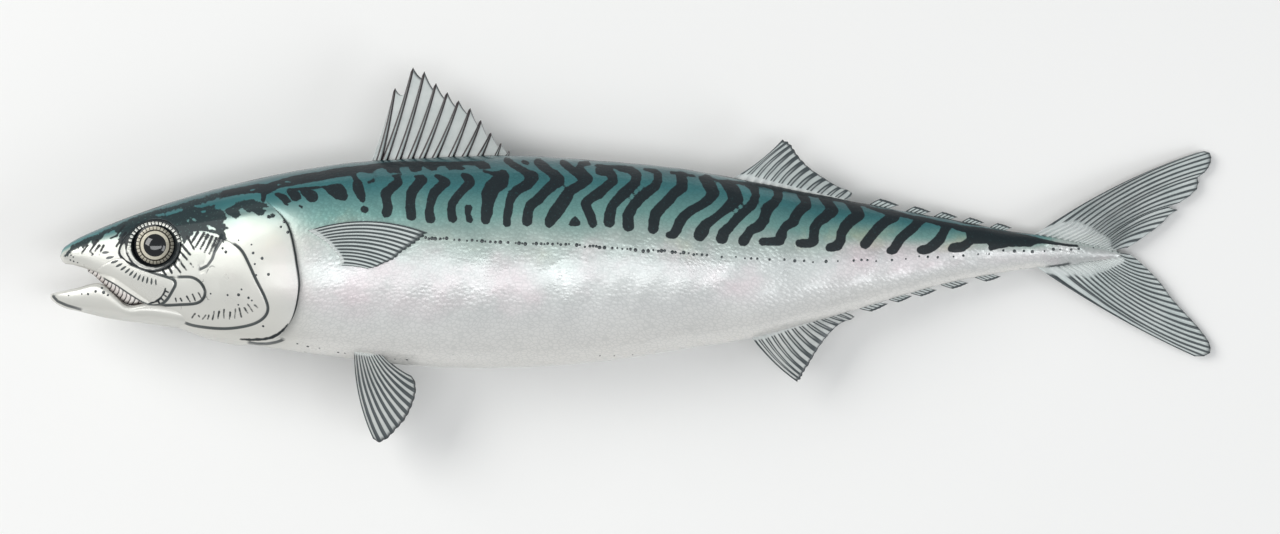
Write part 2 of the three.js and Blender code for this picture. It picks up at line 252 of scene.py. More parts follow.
def pathField(path, x, y, reach=5.0):  # radius less distance, so plus inside a stroke of (x, y, radius)
    p = np.array(path, float)
    out = np.full(x.shape, -9.0)
    near = (
        (x > p[:, 0].min() - reach) & (x < p[:, 0].max() + reach)
        & (y > p[:, 1].min() - reach) & (y < p[:, 1].max() + reach)
    )
    px, py = x[near], y[near]
    best = np.full(px.shape, -9.0)
    if len(p) == 1:
        best = p[0, 2] - np.hypot(px - p[0, 0], py - p[0, 1])
    for (ax, ay, ar), (bx, by, br) in zip(p[:-1], p[1:]):
        dx, dy = bx - ax, by - ay
        t = np.clip(((px - ax) * dx + (py - ay) * dy) / max(dx * dx + dy * dy, 1e-9), 0, 1)
        best = np.maximum(best, ar + t * (br - ar) - np.hypot(px - ax - t * dx, py - ay - t * dy))
    out[near] = best
    return out


def patchField(patch, x, y, reach=5.0):  # plus inside a closed outline
    p = np.array(patch, float)
    edge = np.vstack([p, p[:1]])
    out = pathField([(a, b, 0) for a, b in edge], x, y, reach)
    near = out > -8.9
    px, py = x[near], y[near]
    inside = np.zeros(px.shape, bool)
    for (ax, ay), (bx, by) in zip(edge[:-1], edge[1:]):
        crosses = (ay > py) != (by > py)
        with np.errstate(divide="ignore", invalid="ignore"):
            inside ^= crosses & (px < ax + (py - ay) * (bx - ax) / (by - ay))
    out[near] = np.where(inside, -out[near], out[near])
    return out


# Markings. Each bar is a stroke of (x, y, radius), from the back down to its foot.
bars = [
    [(68.2, 18.3, 0.5), (70.2, 17.3, 0.9), (71.2, 16.2, 1), (71.3, 15.1, 0.5)],
    [(71.9, 19, 0.6), (73.9, 17.6, 1.6)],
    [(76.6, 19.3, 1), (78.9, 17.5, 1.8)],
    [(92.5, 21.3, 1.4), (92.8, 19.8, 1.6), (93.6, 17.8, 1.3), (94, 16.6, 0.9)],
    [
        (104.5, 23.2, 0.9), (104.8, 21.7, 1.2), (102.9, 20.2, 1.4), (101, 18.4, 1.5),
        (101.3, 16.2, 1.25), (101.7, 14.1, 1.4), (101.3, 12.6, 1.45),
    ],
    [
        (110.7, 23.2, 0.7), (111.8, 22.4, 1.55), (110.1, 20.5, 1.5), (108.8, 18.6, 1.55),
        (108.4, 16.5, 1.35), (108.4, 13.8, 1.4), (108.7, 11.7, 1.4),
    ],
    [
        (115.6, 23.9, 0.25), (117.6, 22.9, 0.9), (118.9, 21.6, 1.35), (117.1, 20.2, 1.4),
        (115.5, 18.6, 1.5), (114.7, 16.5, 1.3), (114.3, 14.6, 1.1), (114, 12.7, 1.25),
        (114.4, 10.9, 1.5),
    ],
    [
        (124.1, 23.9, 0.7), (125.8, 22.7, 1.4), (126.2, 21.6, 1.4), (124.1, 19.4, 1.2),
        (122.2, 17.3, 1.2), (120.9, 15.4, 1.2), (120.6, 13.3, 1.15), (121, 10.9, 1.35),
    ],
    [(125.8, 14, 1.1), (125.5, 12.3, 0.7), (126.1, 10.5, 1)],
    [
        (129.8, 25.1, 0.25), (133.2, 24.4, 0.5), (135.8, 23.5, 2), (135.1, 21.9, 2.5),
        (132.9, 20.2, 2.3), (132, 18.1, 2.4), (131.5, 15.4, 1.7), (131.2, 12.7, 1.75),
        (130.9, 10.4, 1.3),
    ],
    [
        (137.1, 28.4, 0.9), (139.5, 26.7, 0.9), (142.4, 25.1, 0.9), (144.6, 23.2, 2),
        (143.5, 21.1, 1.5), (140.8, 19.7, 1.4), (139, 18.1, 1.4), (138, 15.7, 1.15), (137.6, 13, 1.25),
        (137.2, 10.9, 1.1), (137.2, 9.4, 1.1),
    ],
    [
        (146.5, 27.8, 1.2), (148.1, 26.5, 1.4), (149.9, 25.1, 1.1), (151.6, 23.7, 1.6),
        (152.4, 22.3, 2), (150.8, 20.8, 1.6), (148.3, 18.6, 1.4), (146.5, 16.5, 1.5),
        (144.3, 14.9, 1.45), (143.5, 13, 1.35), (143.4, 11.1, 1.5), (143.3, 10.1, 1.5),
    ],
    [
        (154, 27.6, 1), (156.9, 25.3, 1.1), (158.8, 24, 1.2), (160.9, 22.7, 1.9), (159.1, 20.8, 1.35),
        (156.1, 19.2, 1.5), (154.8, 17, 1.9), (153.4, 14.9, 1.95), (151.8, 12.7, 2), (150.2, 10.3, 1.6),
        (149.8, 9.3, 1.2),
    ],
    [(161.5, 27.5, 0.55), (159.3, 27.2, 0.9), (159.1, 25.6, 1.1), (160.1, 24.3, 1.3)],
    [
        (165.2, 25.3, 1.5), (167.4, 25.1, 1.35), (168.7, 23.7, 1.3), (169, 22.1, 1.3),
        (166.8, 20.3, 1.4), (164.7, 18.4, 1.6), (162.3, 17, 1.35), (160.7, 15.4, 1.4),
        (161.5, 13.3, 1.35), (162.5, 11.1, 1.4), (162.9, 9.3, 1.2),
    ],
    [
        (171, 26, 0.9), (174.5, 25.4, 1.1), (176, 23.8, 1.4), (175.6, 21.7, 1.45), (173.7, 19.8, 1.5),
        (172.4, 18.6, 1.6), (170.3, 16.5, 1.4), (168.7, 14.6, 1.45), (168, 12.2, 1.6),
        (167.8, 9.8, 1.6),
    ],
    [
        (178.2, 25.7, 0.3), (181.7, 25, 0.7), (182.3, 24, 1.15), (182.4, 22.2, 1.2),
        (181.4, 20.4, 1.35), (179, 18.7, 1.5), (176.6, 16.6, 1.5), (174.7, 14.2, 1.5),
        (173.4, 11.8, 1.6), (173.5, 8.6, 1.6),
    ],
    [
        (189.2, 23.8, 1.3), (189.6, 22, 1.6), (189.5, 20.1, 1.6), (187.3, 18.5, 1.5),
        (185.5, 16.3, 1.6), (183.3, 14.2, 1.6), (181.7, 12.3, 1.65), (181.2, 10.2, 1.6),
        (180.9, 7.8, 1.55),
    ],
    [
        (196.7, 22.6, 1.6), (197.8, 20.9, 1.75), (199, 18.5, 1.75), (197.3, 16.3, 1.45),
        (194.8, 14.7, 1.3), (192.4, 13.4, 1.3), (190.3, 11.8, 1.45), (188.9, 9.9, 1.5),
        (188.1, 7.8, 1.45), (187.1, 6.2, 1.3), (185.7, 5.9, 1),
    ],
    [
        (203.1, 21.2, 1.45), (204.8, 19.3, 2), (205.8, 16.9, 2.1), (203.7, 14.5, 1.6),
        (201.3, 12.6, 1.2), (198.9, 10.7, 1.15), (196.7, 9.1, 1.5), (195.6, 7.2, 2), (194.8, 5.9, 1.8),
    ],
    [
        (209.3, 21.2, 0.9), (211.5, 19.6, 1), (211.7, 17.7, 1.15), (210.6, 15, 1.35),
        (208.2, 12.9, 1.3), (206.1, 11, 1.35), (204.2, 8.8, 1.35), (202.1, 6.7, 1.6), (201.5, 5.1, 1.8),
    ],
    [
        (218.4, 19.2, 1.2), (218.4, 17.4, 1.3), (217.3, 15.7, 1.35), (215.4, 14.1, 1.75),
        (214.6, 12.3, 1.5), (214.1, 10.4, 1.6), (212.5, 8.5, 1.6), (210.1, 7.4, 1.35), (209, 5.8, 1.35),
        (208, 4.2, 1.6),
    ],
    [
        (225.3, 18.2, 1.1), (226.7, 16.3, 1.3), (226.7, 14.9, 1.6), (224.8, 13.3, 1.5),
        (223.7, 11.7, 1.5), (222.9, 9.9, 1.55), (220.8, 8.8, 1.2), (219.7, 7.2, 1.3), (219.2, 5.6, 1.6),
        (218.9, 4.2, 1.35), (216.2, 4, 1.2), (213.6, 4, 1.1),
    ],
    [
        (232.3, 16.6, 1.2), (233.9, 14.9, 1.35), (234.7, 13.3, 1.75), (232.6, 11.5, 1.6),
        (230.4, 9.9, 1.45), (229.2, 8, 1.4), (229.1, 5.8, 1.4), (229.1, 4.2, 1.4), (228.3, 3.4, 1.2),
        (224.8, 3.5, 1.2),
    ],
    [
        (240.3, 15.5, 1.45), (241.9, 13.6, 1.6), (242.7, 11.9, 1.6), (240.3, 10.4, 1.6),
        (238.5, 8.5, 1.6), (237.4, 6.6, 1.4), (237.1, 4.5, 1.45), (236.3, 2.9, 1.45),
        (233.9, 2.2, 1.25),
    ],
    [
        (252.2, 12.6, 1), (253.1, 11.6, 1.75), (250.7, 10.1, 1.4), (248.5, 8.2, 1.5), (246.9, 6.3, 1.5),
        (245.6, 4.7, 1.5), (244.4, 3.2, 1.4),
    ],
    [
        (260.8, 10.1, 1.35), (259.5, 8.7, 1.35), (257.4, 6.9, 1.4), (255.2, 5, 1.4), (253.9, 3.1, 1.4),
        (253.3, 1.8, 1.3), (252, 1.2, 1.1),
    ],
    [
        (268.6, 8.2, 1.2), (268.1, 6.6, 1.35), (267, 4.7, 1.5), (265.4, 3.1, 1.5), (263.5, 1.8, 1.4),
        (261.4, 1.5, 1.25),
    ],
]
# Darker lines and bands along the back, spurs, hooks and single spots.
backMarks = [
    [
        (52.5, 18.3, 1), (57.5, 19.3, 0.95), (62.5, 20, 1.3), (65.2, 19.6, 1.5), (68.6, 21.2, 1.1),
        (74.3, 22.5, 1.4), (79.3, 23.3, 1.3), (86, 24.6, 1.3), (90.7, 25.1, 1.35), (94.3, 26.3, 0.55),
        (96, 26, 1.1), (99.4, 26.8, 0.7), (105, 27.2, 0.8), (118, 27.3, 0.55), (130, 27.6, 0.5),
    ],
    [(64.6, 19.5, 0.9), (64.3, 16.3, 0.55)], [(91, 24.5, 0.7), (92.3, 21.8, 0.6)],
    [(71.6, 19.5, 0.3), (81.6, 20.3, 0.3)],
    [(97.4, 25.6, 0.45), (97.9, 23.6, 0.45), (97.4, 22.3, 0.5), (96.2, 21.8, 0.45)],
    [(94.7, 13.6, 1.15)], [(75.7, 14.5, 0.65)], [(66.1, 11.5, 0.55)], [(67.3, 11.8, 0.6)],
    [(103, 23.5, 0.3), (105.3, 23.9, 0.35), (105.2, 24.6, 0.2)],
    [(109.7, 23.5, 0.3), (112.6, 23.5, 0.4)], [(141.8, 28, 0.5), (143.5, 27.4, 0.45)],
    [(163.5, 26.8, 0.35), (174, 26.1, 0.45)], [(186.4, 24.7, 0.35), (192.8, 23.7, 0.3)],
    [(194.6, 23.4, 0.35), (199.4, 22.6, 0.3)],
    [
        (200.7, 22.2, 0.35), (213, 21, 0.45), (218.4, 19.9, 0.45), (225.3, 18.7, 0.45),
        (231, 17.5, 0.4), (238.7, 16.1, 0.45), (244.5, 14.9, 0.3), (248, 13.6, 0.4), (250.9, 12.9, 0.8),
        (255.2, 12.2, 0.7), (258.4, 11.4, 0.4), (260.6, 10.9, 0.75), (263, 10.5, 0.6),
        (265.9, 9.8, 0.6), (272, 8.6, 0.7),
    ],
    [(298.8, 3.8, 0.25), (306, 2.9, 0.3)], [(307.3, 2.9, 0.3), (308.7, 2.7, 0.3)],
]
backPatches = [
    [(82.3, 20.3), (85, 21.2), (88, 21.3), (89, 19.5), (89.7, 17.6), (89, 16.3), (86.6, 16.4), (84, 18.3)],
    [(93, 25.9), (93.8, 25.2), (95.3, 24.4), (97, 24.6), (97.5, 25.8), (96, 26.6)],
    [(100, 27), (101.9, 24.4), (103.7, 24.7), (105.1, 24.4), (104.8, 26.2), (104.8, 27)],
    [(107.5, 27), (108.3, 25.2), (109.3, 24.7), (110.2, 25.1), (111.8, 25.1), (111.5, 26.2), (111.8, 27)],
    [(112.5, 27), (113.9, 25.3), (116.2, 25.4), (116.1, 26.4), (116.1, 27)],
    [
        (118.7, 26.8), (119.9, 25.4), (121.5, 25.8), (124.2, 25.4), (124.8, 25.9), (123.6, 26.6),
        (123.6, 27.2),
    ],
    [(126.8, 27.6), (129.1, 25.8), (132.6, 25.8), (131.6, 27.2), (130.3, 28.1), (128, 28.1)],
    [(155.3, 8.7), (157.1, 11.5), (158, 11.5), (159.4, 9.6), (158.6, 8.6)],
    [
        (270.5, 9.3), (276.6, 8.6), (281.7, 8), (288, 6.9), (294.9, 5.7), (299, 4.6), (306, 3.1),
        (305.9, 2.8), (298.8, 3.5), (295.8, 3.4), (294.9, 2.6), (287.8, 2.6), (282.6, 1.5),
        (281.2, 0.3), (282, 3.4), (277.2, 3.5), (275.8, 2.3), (274.2, 1), (269.8, 0.7), (269.4, 2),
        (270.1, 3.4), (273.7, 3.9), (275.3, 5), (274.8, 6.9), (271, 7.8),
    ],
]
# The dark crown from the snout to the nape, with a ragged lower edge, and the light dashes in it.
crown = {
    "patches": [
        [
            (4.1, -0.4), (5.3, 1.2), (6.8, 3), (10.7, 4.9), (15.6, 6.8), (19.8, 8.9), (19.8, 7.6),
            (16.4, 6.2), (15.8, 5), (13.2, 2.4), (12.6, 4.4), (10.4, 2), (9.6, 2.4), (8, 1.9), (6.6, 1),
            (5.3, -0.5),
        ],
        [
            (16.4, 6.4), (22.1, 9.9), (26.7, 11.8), (32.1, 13.4), (37.4, 14.8), (43.6, 16.6),
            (48.9, 18.2), (53.5, 19.4), (58.5, 20.4), (63, 21.2), (62, 18.8), (57.5, 18.2),
            (52.5, 17.4), (50.6, 16.4), (49.5, 14.2), (52.4, 13.2), (53.4, 11.4), (52.4, 9.6),
            (54.2, 8), (52.6, 7.2), (53.4, 5), (52.4, 3.6), (51.6, 5.4), (49.5, 6.6), (46, 7.2),
            (43.5, 6.9), (42.4, 5.2), (40.6, 3.4), (39.2, 6.2), (37, 9), (33, 10.2), (29, 10),
            (26, 8.6), (23, 6), (21.2, 2.8), (20.6, 4.8), (21.6, 7), (20, 6.2), (19.4, 7.8),
        ],
        [
            (52.5, 13.3), (54.5, 14.6), (57.5, 16.3), (60.9, 16.6), (64.9, 15.6), (66.2, 14.4),
            (64.2, 13.9), (65.4, 13.3), (64.6, 12), (62.9, 11.8), (61.2, 12.8), (59.5, 12.8),
            (58.4, 13.9), (56.9, 13.6), (57.6, 11.8), (56.3, 10.8), (55.2, 11.3), (53.8, 11.9),
        ],
    ],
    "strokes": [
        [(44, 2.3, 0.16), (46.6, 6.6, 0.34)], [(45.4, 1.6, 0.16), (47.8, 6, 0.34)],
        [(46.8, 0.9, 0.16), (49.1, 5.5, 0.34)], [(48.2, 0.3, 0.16), (50.3, 5, 0.34)],
        [(49.6, 0.9, 0.16), (51.5, 5.2, 0.34)], [(42.6, 3.2, 0.16), (44.8, 6.8, 0.32)],
        [(35, -10, 0.16), (34.6, -11.4, 0.22), (33.5, -12.9, 0.22), (32, -14, 0.2), (30, -14.6, 0.14)],
        [(34.9, -10.7, 0.16), (35.8, -11.2, 0.16)], [(34.4, -11.8, 0.16), (35.2, -12.4, 0.16)],
        [(33.6, -12.8, 0.16), (34.3, -13.5, 0.16)], [(32.6, -13.6, 0.16), (33.1, -14.4, 0.16)],
        [(41.6, 5.4, 0.3), (43.7, 1.6, 0.14)], [(39.9, 3, 0.38), (42.5, 0, 0.2)],
        [(39, 1.5, 0.26), (43.4, -3.5, 0.14)], [(38.7, -1, 0.3), (41.4, -4.7, 0.13)],
        [(37.5, -2.6, 0.34), (39.6, -5.4, 0.14)], [(36, -3.8, 0.36), (37.1, -5.6, 0.16)],
        [(34.2, -4.7, 0.32), (35.2, -6, 0.16)],
        [
            (71.8, -20.6, 0.1), (70.4, -22.3, 0.26), (68.6, -23.8, 0.34), (66.5, -24.8, 0.34),
            (64.4, -25.2, 0.3), (61, -25.4, 0.26), (57.3, -25.2, 0.14),
        ],
        [(9.7, 0.6, 0.12), (11.4, 2.8, 0.26)], [(11.8, 0.6, 0.16), (14.4, 4.4, 0.36)],
        [(12.8, -0.1, 0.12), (15, 2.9, 0.26)], [(15, 0.2, 0.14), (16.3, 2.8, 0.26)],
        [(20, 5.6, 0.14), (22.4, 8.8, 0.28)], [(20.2, 2.6, 0.2), (23, 6.6, 0.32)],
        [(18.4, 5, 0.12), (20.4, 5.8, 0.24)],
    ],
    "dashes": [
        [(32.2, 11.9, 0.2), (34.2, 12, 0.45)],
        [(35.2, 12.2, 0.5), (39.6, 13.6, 0.45)],
        [(44.2, 14.6, 0.5), (47, 15, 0.6), (50.6, 16.4, 0.7)],
        [(46.1, 13, 0.3), (46.6, 13.1, 0.3)],
        [(43.2, 10.8, 0.2), (43.9, 10.4, 0.2)],
        [(47.6, 8.6, 0.4), (50, 7.6, 0.35)],
        [(41.7, 10.1, 0.25)],
        [(60.4, 19.4, 0.3), (62.6, 19.9, 0.25)],
        [(68.6, 21, 0.35), (69.6, 21.2, 0.25)],
        [(70.9, 21.9, 0.28), (72.6, 21.9, 0.25)],
    ],
}
cheek = {
    # fine folds that point at the eye, darkened with painted shade, lie along this line, as far as the
    # reach to each side
    "radial": [(16.6, 0.9), (18.6, -1.2), (20.8, -2.9), (23.6, -4.8), (27.3, -6.9), (31.8, -8.2)],
    "radialReach": 1.5,
    # painted shade: each tick is a dark stroke for the shade in a short fold
    "ticks": [  # short folds along the plates' lower edges, each from its top to its foot
        [(43.8, -17.6), (42.9, -18.8)], [(44.9, -18.2), (45.2, -18.6)], [(47.1, -18), (46.1, -19.2)],
        [(48, -18), (47.6, -19.3)], [(49.6, -16.9), (49.1, -19.3)], [(51.1, -16.9), (50.7, -19.1)],
        [(52.6, -16.3), (52.5, -19)], [(54.5, -17.1), (54.2, -19.2)], [(56, -16.1), (55.8, -18.9)],
        [(57.2, -15.9), (57.8, -18.6)], [(58.7, -15.8), (59.8, -17.5)], [(59.8, -14.7), (61.3, -17.1)],
        [(61.7, -14.9), (62.8, -15.8)], [(38, -13), (38.2, -14)], [(39.5, -13), (39.9, -13.8)],
        [(41.4, -12.4), (42.4, -14)], [(43.2, -11.8), (44, -13.7)], [(44.9, -11.3), (45.8, -12.9)],
    ],
    "tickRadius": (0.15, 0.08),  # at the top and at the foot
    # each crease runs along an edge of a patch and is darkened with painted shade; only the part inside a
    # shown stroke is seen
    "creasePatches": [
        [
            (52.9, 5.4), (51.9, 4.3), (49.8, 0.9), (49.1, -1.2), (47.7, -3.2), (45.3, -4.4), (43.5, -1),
            (46, 4), (50, 7),
        ],
        [(59.4, -26.2), (62.4, -26.6), (65.4, -26.6), (68.2, -26.1), (70.6, -25.2), (68, -23.6), (62, -24)],
        [(299.3, -3.7), (303, -3.2), (306.6, -2.5), (305, -1), (300, -1.6)],
    ],
    "shown": [
        [(52.6, 5, 1), (49.8, 0.9, 1.2), (49.2, -1.2, 1.2), (47.7, -3.3, 1.2), (45.9, -4.2, 0.9)],
        [(60.4, -26.4, 0.9), (65.4, -26.7, 0.9), (69.8, -25.6, 0.8)],
        [(299.8, -3.6, 0.5), (303, -3.2, 0.6), (306, -2.6, 0.5)],
        [
            (56, 2.9, 0.8), (57.7, 1.5, 1.2), (59.6, -2, 1.4), (61.9, -6.6, 1.4), (64.6, -11.9, 1.5),
            (65.8, -16, 1.6), (64.4, -19, 1.6), (60.8, -20.9, 1.5), (54, -22, 1.3), (47, -21.7, 1.3),
            (41.5, -20.6, 0.9),
        ],
        [
            (34, -15, 1.2), (39, -14.9, 1.4), (43.9, -14.5, 1.4), (46.4, -13, 1.4), (47, -10.8, 1.4),
            (45.7, -8.4, 1.4), (43, -6.8, 1.2), (39.5, -6.6, 1),
        ],
        [
            (16.8, -7.3, 0.7), (20, -9.2, 1), (24, -11.7, 1.1), (28.6, -14.5, 1.3), (32.2, -15.4, 1.4),
            (35.2, -13.8, 1.4), (37.5, -10.6, 1.4), (38, -8.4, 1.2), (36.4, -7, 1.1), (33, -5.8, 1.1),
            (29, -4.6, 1), (25, -3.1, 0.9),
        ],
    ],
}
# Each plate rises out of the skin from one x to another, round its centre.
plates = {
    "cheekPlate": {
        "from": 26, "to": 74, "rise": 1.35, "power": 2, "centre": (52, -11),
        "outline": [
            (44, 8), (50, 5.6), (54.6, 4), (57.9, 1.4), (60, -2.4), (62.1, -7), (64.7, -12.2),
            (65.8, -16.1), (64.4, -18.9), (60.6, -20.9), (54, -22), (47, -21.7), (41, -20.4), (36, -17),
            (37, -8), (40, 2),
        ],
    },
    "upperJawPlate": {
        "from": 12.6, "to": 44, "rise": 1.2, "power": 0.45, "centre": (28, -8.2),
        "outline": [
            (14.6, -4.4), (18.4, -1.6), (21.6, -0.9), (23.6, -2.4), (26, -3.4), (29, -4.6),
            (32.4, -5.7), (35.4, -6.6), (37.6, -7.5), (38, -8.9), (37.2, -10.6), (35.4, -13.4),
            (33.3, -14.9), (31, -15.1), (28.4, -14.5), (24, -11.9), (19.8, -9.1), (16, -6.9),
        ],
    },
    "upperJawEndPlate": {
        "from": 20, "to": 54, "rise": 1.05, "power": 0.5, "centre": (40, -10.7),
        "outline": [
            (31, -8.4), (36, -6.9), (40, -6.6), (43.2, -6.8), (45.6, -8.3), (46.9, -10.9),
            (46.3, -13.1), (44.1, -14.5), (39, -14.9), (34, -15), (31, -14),
        ],
    },
}
eye = {"x": 31.8, "y": 3.0, "radius": 6.8, "depth": 5.2, "proud": 1.1}
eye["z"] = float(flankAt(eye["x"], 2.9)) + eye["proud"] - eye["depth"]


def shifted(stroke, amount):  # a marking of the other side: a little moved and uneven
    dx, dy = rng.normal(0, amount), rng.normal(0, amount * 0.4)
    moved = []
    for x, y, radius in stroke:
        place = (x + dx + rng.normal(0, 0.25), y + dy + rng.normal(0, 0.2))
        moved.append((*place, radius * rng.uniform(0.9, 1.12)))
    return moved


def largest(fields):
    most = -9.0  # lower than any field that matters
    for field in fields:
        most = np.maximum(most, field)
    return most


otherSideBars = [shifted(stroke, 0.8) for stroke in bars + backMarks]


def skinMaps(x, y, z):  # what the skin's material reads, for any point on the fish
    left = z >= 0
    dark = np.full(x.shape, -9.0)
    for stroke in bars + backMarks:
        dark = np.maximum(dark, np.where(left, pathField(stroke, x, y), -9))
    for stroke in otherSideBars:
        dark = np.maximum(dark, np.where(left, -9, pathField(stroke, x, y)))
    for patch in backPatches:
        dark = np.maximum(dark, patchField(patch, x, y))
    # a dark band of uneven width runs along the ridge of the back
    halfBand = 1.5 + 0.9 * np.sin(0.31 * x + 1.2) * np.sin(0.13 * x)
    band = halfBand - np.abs(z) - 4 * np.clip(backLine(x) - y - 1, 0, 9)
    dark = np.maximum(dark, np.where((x > 8) & (x < 300), band, -9))
    head = np.full(x.shape, -9.0)
    for patch in crown["patches"]:
        head = np.maximum(head, patchField(patch, x, y))
    for stroke in crown["strokes"]:
        dark = np.maximum(dark, pathField(stroke, x, y))
    # the short folds under the plates are painted dark, as painted shade
    for tick in cheek["ticks"]:
        dark = np.maximum(dark, pathField([(*p, r) for p, r in zip(tick, cheek["tickRadius"])], x, y))
    for stroke in crown["dashes"]:
        light = pathField(stroke, x, y)
        head, dark = np.minimum(head, -light), np.minimum(dark, -light)

    outlines = {key: bendThrough(plate["outline"], 6, closed=True) for key, plate in plates.items()}
    creases = cheek["creasePatches"] + [outlines["upperJawEndPlate"]]
    onPlate = np.where(x > 39.6, patchField(outlines["cheekPlate"], x, y), -2)
    toFolds = -pathField([(a, b, 0) for a, b in bendThrough(cheek["radial"], 4)], x, y)
    height = (y - bellyLine(x)) / (backLine(x) - bellyLine(x))
    return {
        "barField": np.clip(dark, -3, 3),
        "crownField": np.clip(head, -3, 3),
        "tone": np.clip(height + (0.45 - height) * 0.85 * easeIn(294, 306, x), 0, 1),
        "radialFolds": 1 - np.clip(toFolds / cheek["radialReach"], 0, 1) ** 2,
        # the fields below place painted shade along the plates' edges and the creases, where lineShow lets
        # it show
        "plateField": np.clip(onPlate, -2, 2),
        "lipField": np.clip(patchField(outlines["upperJawPlate"], x, y), -2, 2),
        "creaseField": np.clip(largest(patchField(p, x, y) for p in creases), -2, 2),
        "lineShow": easeIn(-0.4, 0.5, largest(pathField(p, x, y) for p in cheek["shown"])),
        "slitShade": np.zeros(x.shape),
        "eyeTurn": np.arctan2(x - eye["x"], -(y - eye["y"])),
        "headness": easeIn(84, 66, x),
    }


def clearSelection():
    if bpy.context.object and bpy.context.object.mode != "OBJECT":
        bpy.ops.object.mode_set(mode="OBJECT")
    bpy.ops.object.select_all(action="DESELECT")


def gridPiece(name, points, maps=None, uv=None):
    # A grid primitive is laid over rows of points, then merged where its edges meet.
    rows, columns = points.shape[:2]
    clearSelection()
    bpy.ops.mesh.primitive_grid_add(x_subdivisions=columns - 1, y_subdivisions=rows - 1, size=1)
    piece = bpy.context.object
    piece.name = piece.data.name = name
    mesh = piece.data
    flat = np.empty(len(mesh.vertices) * 3)
    mesh.vertices.foreach_get("co", flat)
    flat = flat.reshape(-1, 3)
    column = np.rint((flat[:, 0] + 0.5) * (columns - 1)).astype(int)
    row = np.rint((flat[:, 1] + 0.5) * (rows - 1)).astype(int)
    mesh.vertices.foreach_set("co", points[row, column].astype(np.float32).ravel())
    for key, values in (maps or {}).items():
        store = mesh.attributes.new(key, "FLOAT", "POINT")
        store.data.foreach_set("value", values[row, column].astype(np.float32))
    if uv is not None:
        corner = np.empty(len(mesh.loops), int)
        mesh.loops.foreach_get("vertex_index", corner)
        placed = uv[row, column][corner]
        mesh.uv_layers.active.data.foreach_set("uv", placed.astype(np.float32).ravel())
    bpy.ops.object.mode_set(mode="EDIT")
    bpy.ops.mesh.select_all(action="SELECT")
    bpy.ops.mesh.remove_doubles(threshold=2e-6)
    bpy.ops.mesh.normals_make_consistent(inside=False)
    bpy.ops.object.mode_set(mode="OBJECT")
    bpy.ops.object.shade_smooth()
    return piece


def finishPiece(piece, material, stands=("fish",)):
    piece.data.materials.clear()
    piece.data.materials.append(material)
    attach(piece, "root")
    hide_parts(*stands)


def joinAll(pieces, name):
    clearSelection()
    for piece in pieces:
        piece.select_set(True)
    bpy.context.view_layer.objects.active = pieces[0]
    if len(pieces) > 1:
        bpy.ops.object.join()
    whole = bpy.context.object
    whole.name = whole.data.name = name
    return whole


# Shader nodes. A value is either a number or another node's output.
def addNode(tree, kind, settings=None, **sockets):
    node = tree.nodes.new(kind)
    node.location = (180 * (len(tree.nodes) % 12), -220 * (len(tree.nodes) // 12))
    for key, value in (settings or {}).items():
        setattr(node, key, value)
    for key, value in sockets.items():
        socket = node.inputs[int(key[1:])] if key[0] == "i" and key[1:].isdigit() else node.inputs[key]
        if isinstance(value, bpy.types.NodeSocket):
            tree.links.new(value, socket)
        else:
            socket.default_value = value
    return node


def compute(tree, operation, a, b=0.0, c=0.0):
    return addNode(tree, "ShaderNodeMath", {"operation": operation}, i0=a, i1=b, i2=c).outputs[0]


def times(tree, first, *others):
    for other in others:
        first = compute(tree, "MULTIPLY", first, other)
    return first


def plus(tree, a, b):
    return compute(tree, "ADD", a, b)


def minus(tree, a, b):
    return compute(tree, "SUBTRACT", a, b)


def larger(tree, first, *others):
    for other in others:
        first = compute(tree, "MAXIMUM", first, other)
    return first


def timesPlus(tree, a, factor, added):
    return compute(tree, "MULTIPLY_ADD", a, factor, added)


def mixTwo(tree, share, a, b, blend="MIX"):  # a and b are colours or colour sockets
    a, b = [(*colour, 1) if isinstance(colour, tuple) else colour for colour in (a, b)]
    settings = {"data_type": "RGBA", "blend_type": blend}
    return addNode(tree, "ShaderNodeMix", settings, i0=share, i6=a, i7=b).outputs[2]


def fade(tree, value, low, high, toLow=0.0, toHigh=1.0):
    node = addNode(
        tree, "ShaderNodeMapRange", {"interpolation_type": "SMOOTHSTEP"},
        i0=value, i1=low, i2=high, i3=toLow, i4=toHigh,
    )
    return node.outputs[0]


def ramp(tree, value, stops):
    node = addNode(tree, "ShaderNodeValToRGB", None, Fac=value)
    band = node.color_ramp
    band.interpolation = "LINEAR"
    while len(band.elements) > 1:
        band.elements.remove(band.elements[-1])
    band.elements[0].position, band.elements[0].color = stops[0][0], (*stops[0][1], 1)
    for position, colour in stops[1:]:
        band.elements.new(position).color = (*colour, 1)
    return node.outputs[0]


def readMap(tree, name):
    return addNode(tree, "ShaderNodeAttribute", {"attribute_name": name}).outputs["Fac"]


def noise(tree, vector, scale, detail=3.0, roughness=0.55):
    sockets = {"Vector": vector, "Scale": scale, "Detail": detail, "Roughness": roughness}
    return addNode(tree, "ShaderNodeTexNoise", None, **sockets).outputs["Fac"]


def wobble(tree, vector, scale, amount, detail=2.0, middle=0.0):  # noise that swings round a value
    return timesPlus(tree, noise(tree, vector, scale, detail), amount, middle - amount / 2)


def stretchVector(tree, vector, factors):
    settings = {"operation": "MULTIPLY"}
    return addNode(tree, "ShaderNodeVectorMath", settings, i0=vector, i1=factors).outputs[0]


def newGroup(name, inputs, outputs):  # an input without a number is a vector
    group = bpy.data.node_groups.new(name, "ShaderNodeTree")
    for socket, value in inputs.items():
        kind = "NodeSocketVector" if value is None else "NodeSocketFloat"
        made = group.interface.new_socket(socket, in_out="INPUT", socket_type=kind)
        if value is not None:
            made.default_value = value
    for socket in outputs:
        group.interface.new_socket(socket, in_out="OUTPUT", socket_type="NodeSocketFloat")
    return group, group.nodes.new("NodeGroupInput"), group.nodes.new("NodeGroupOutput")


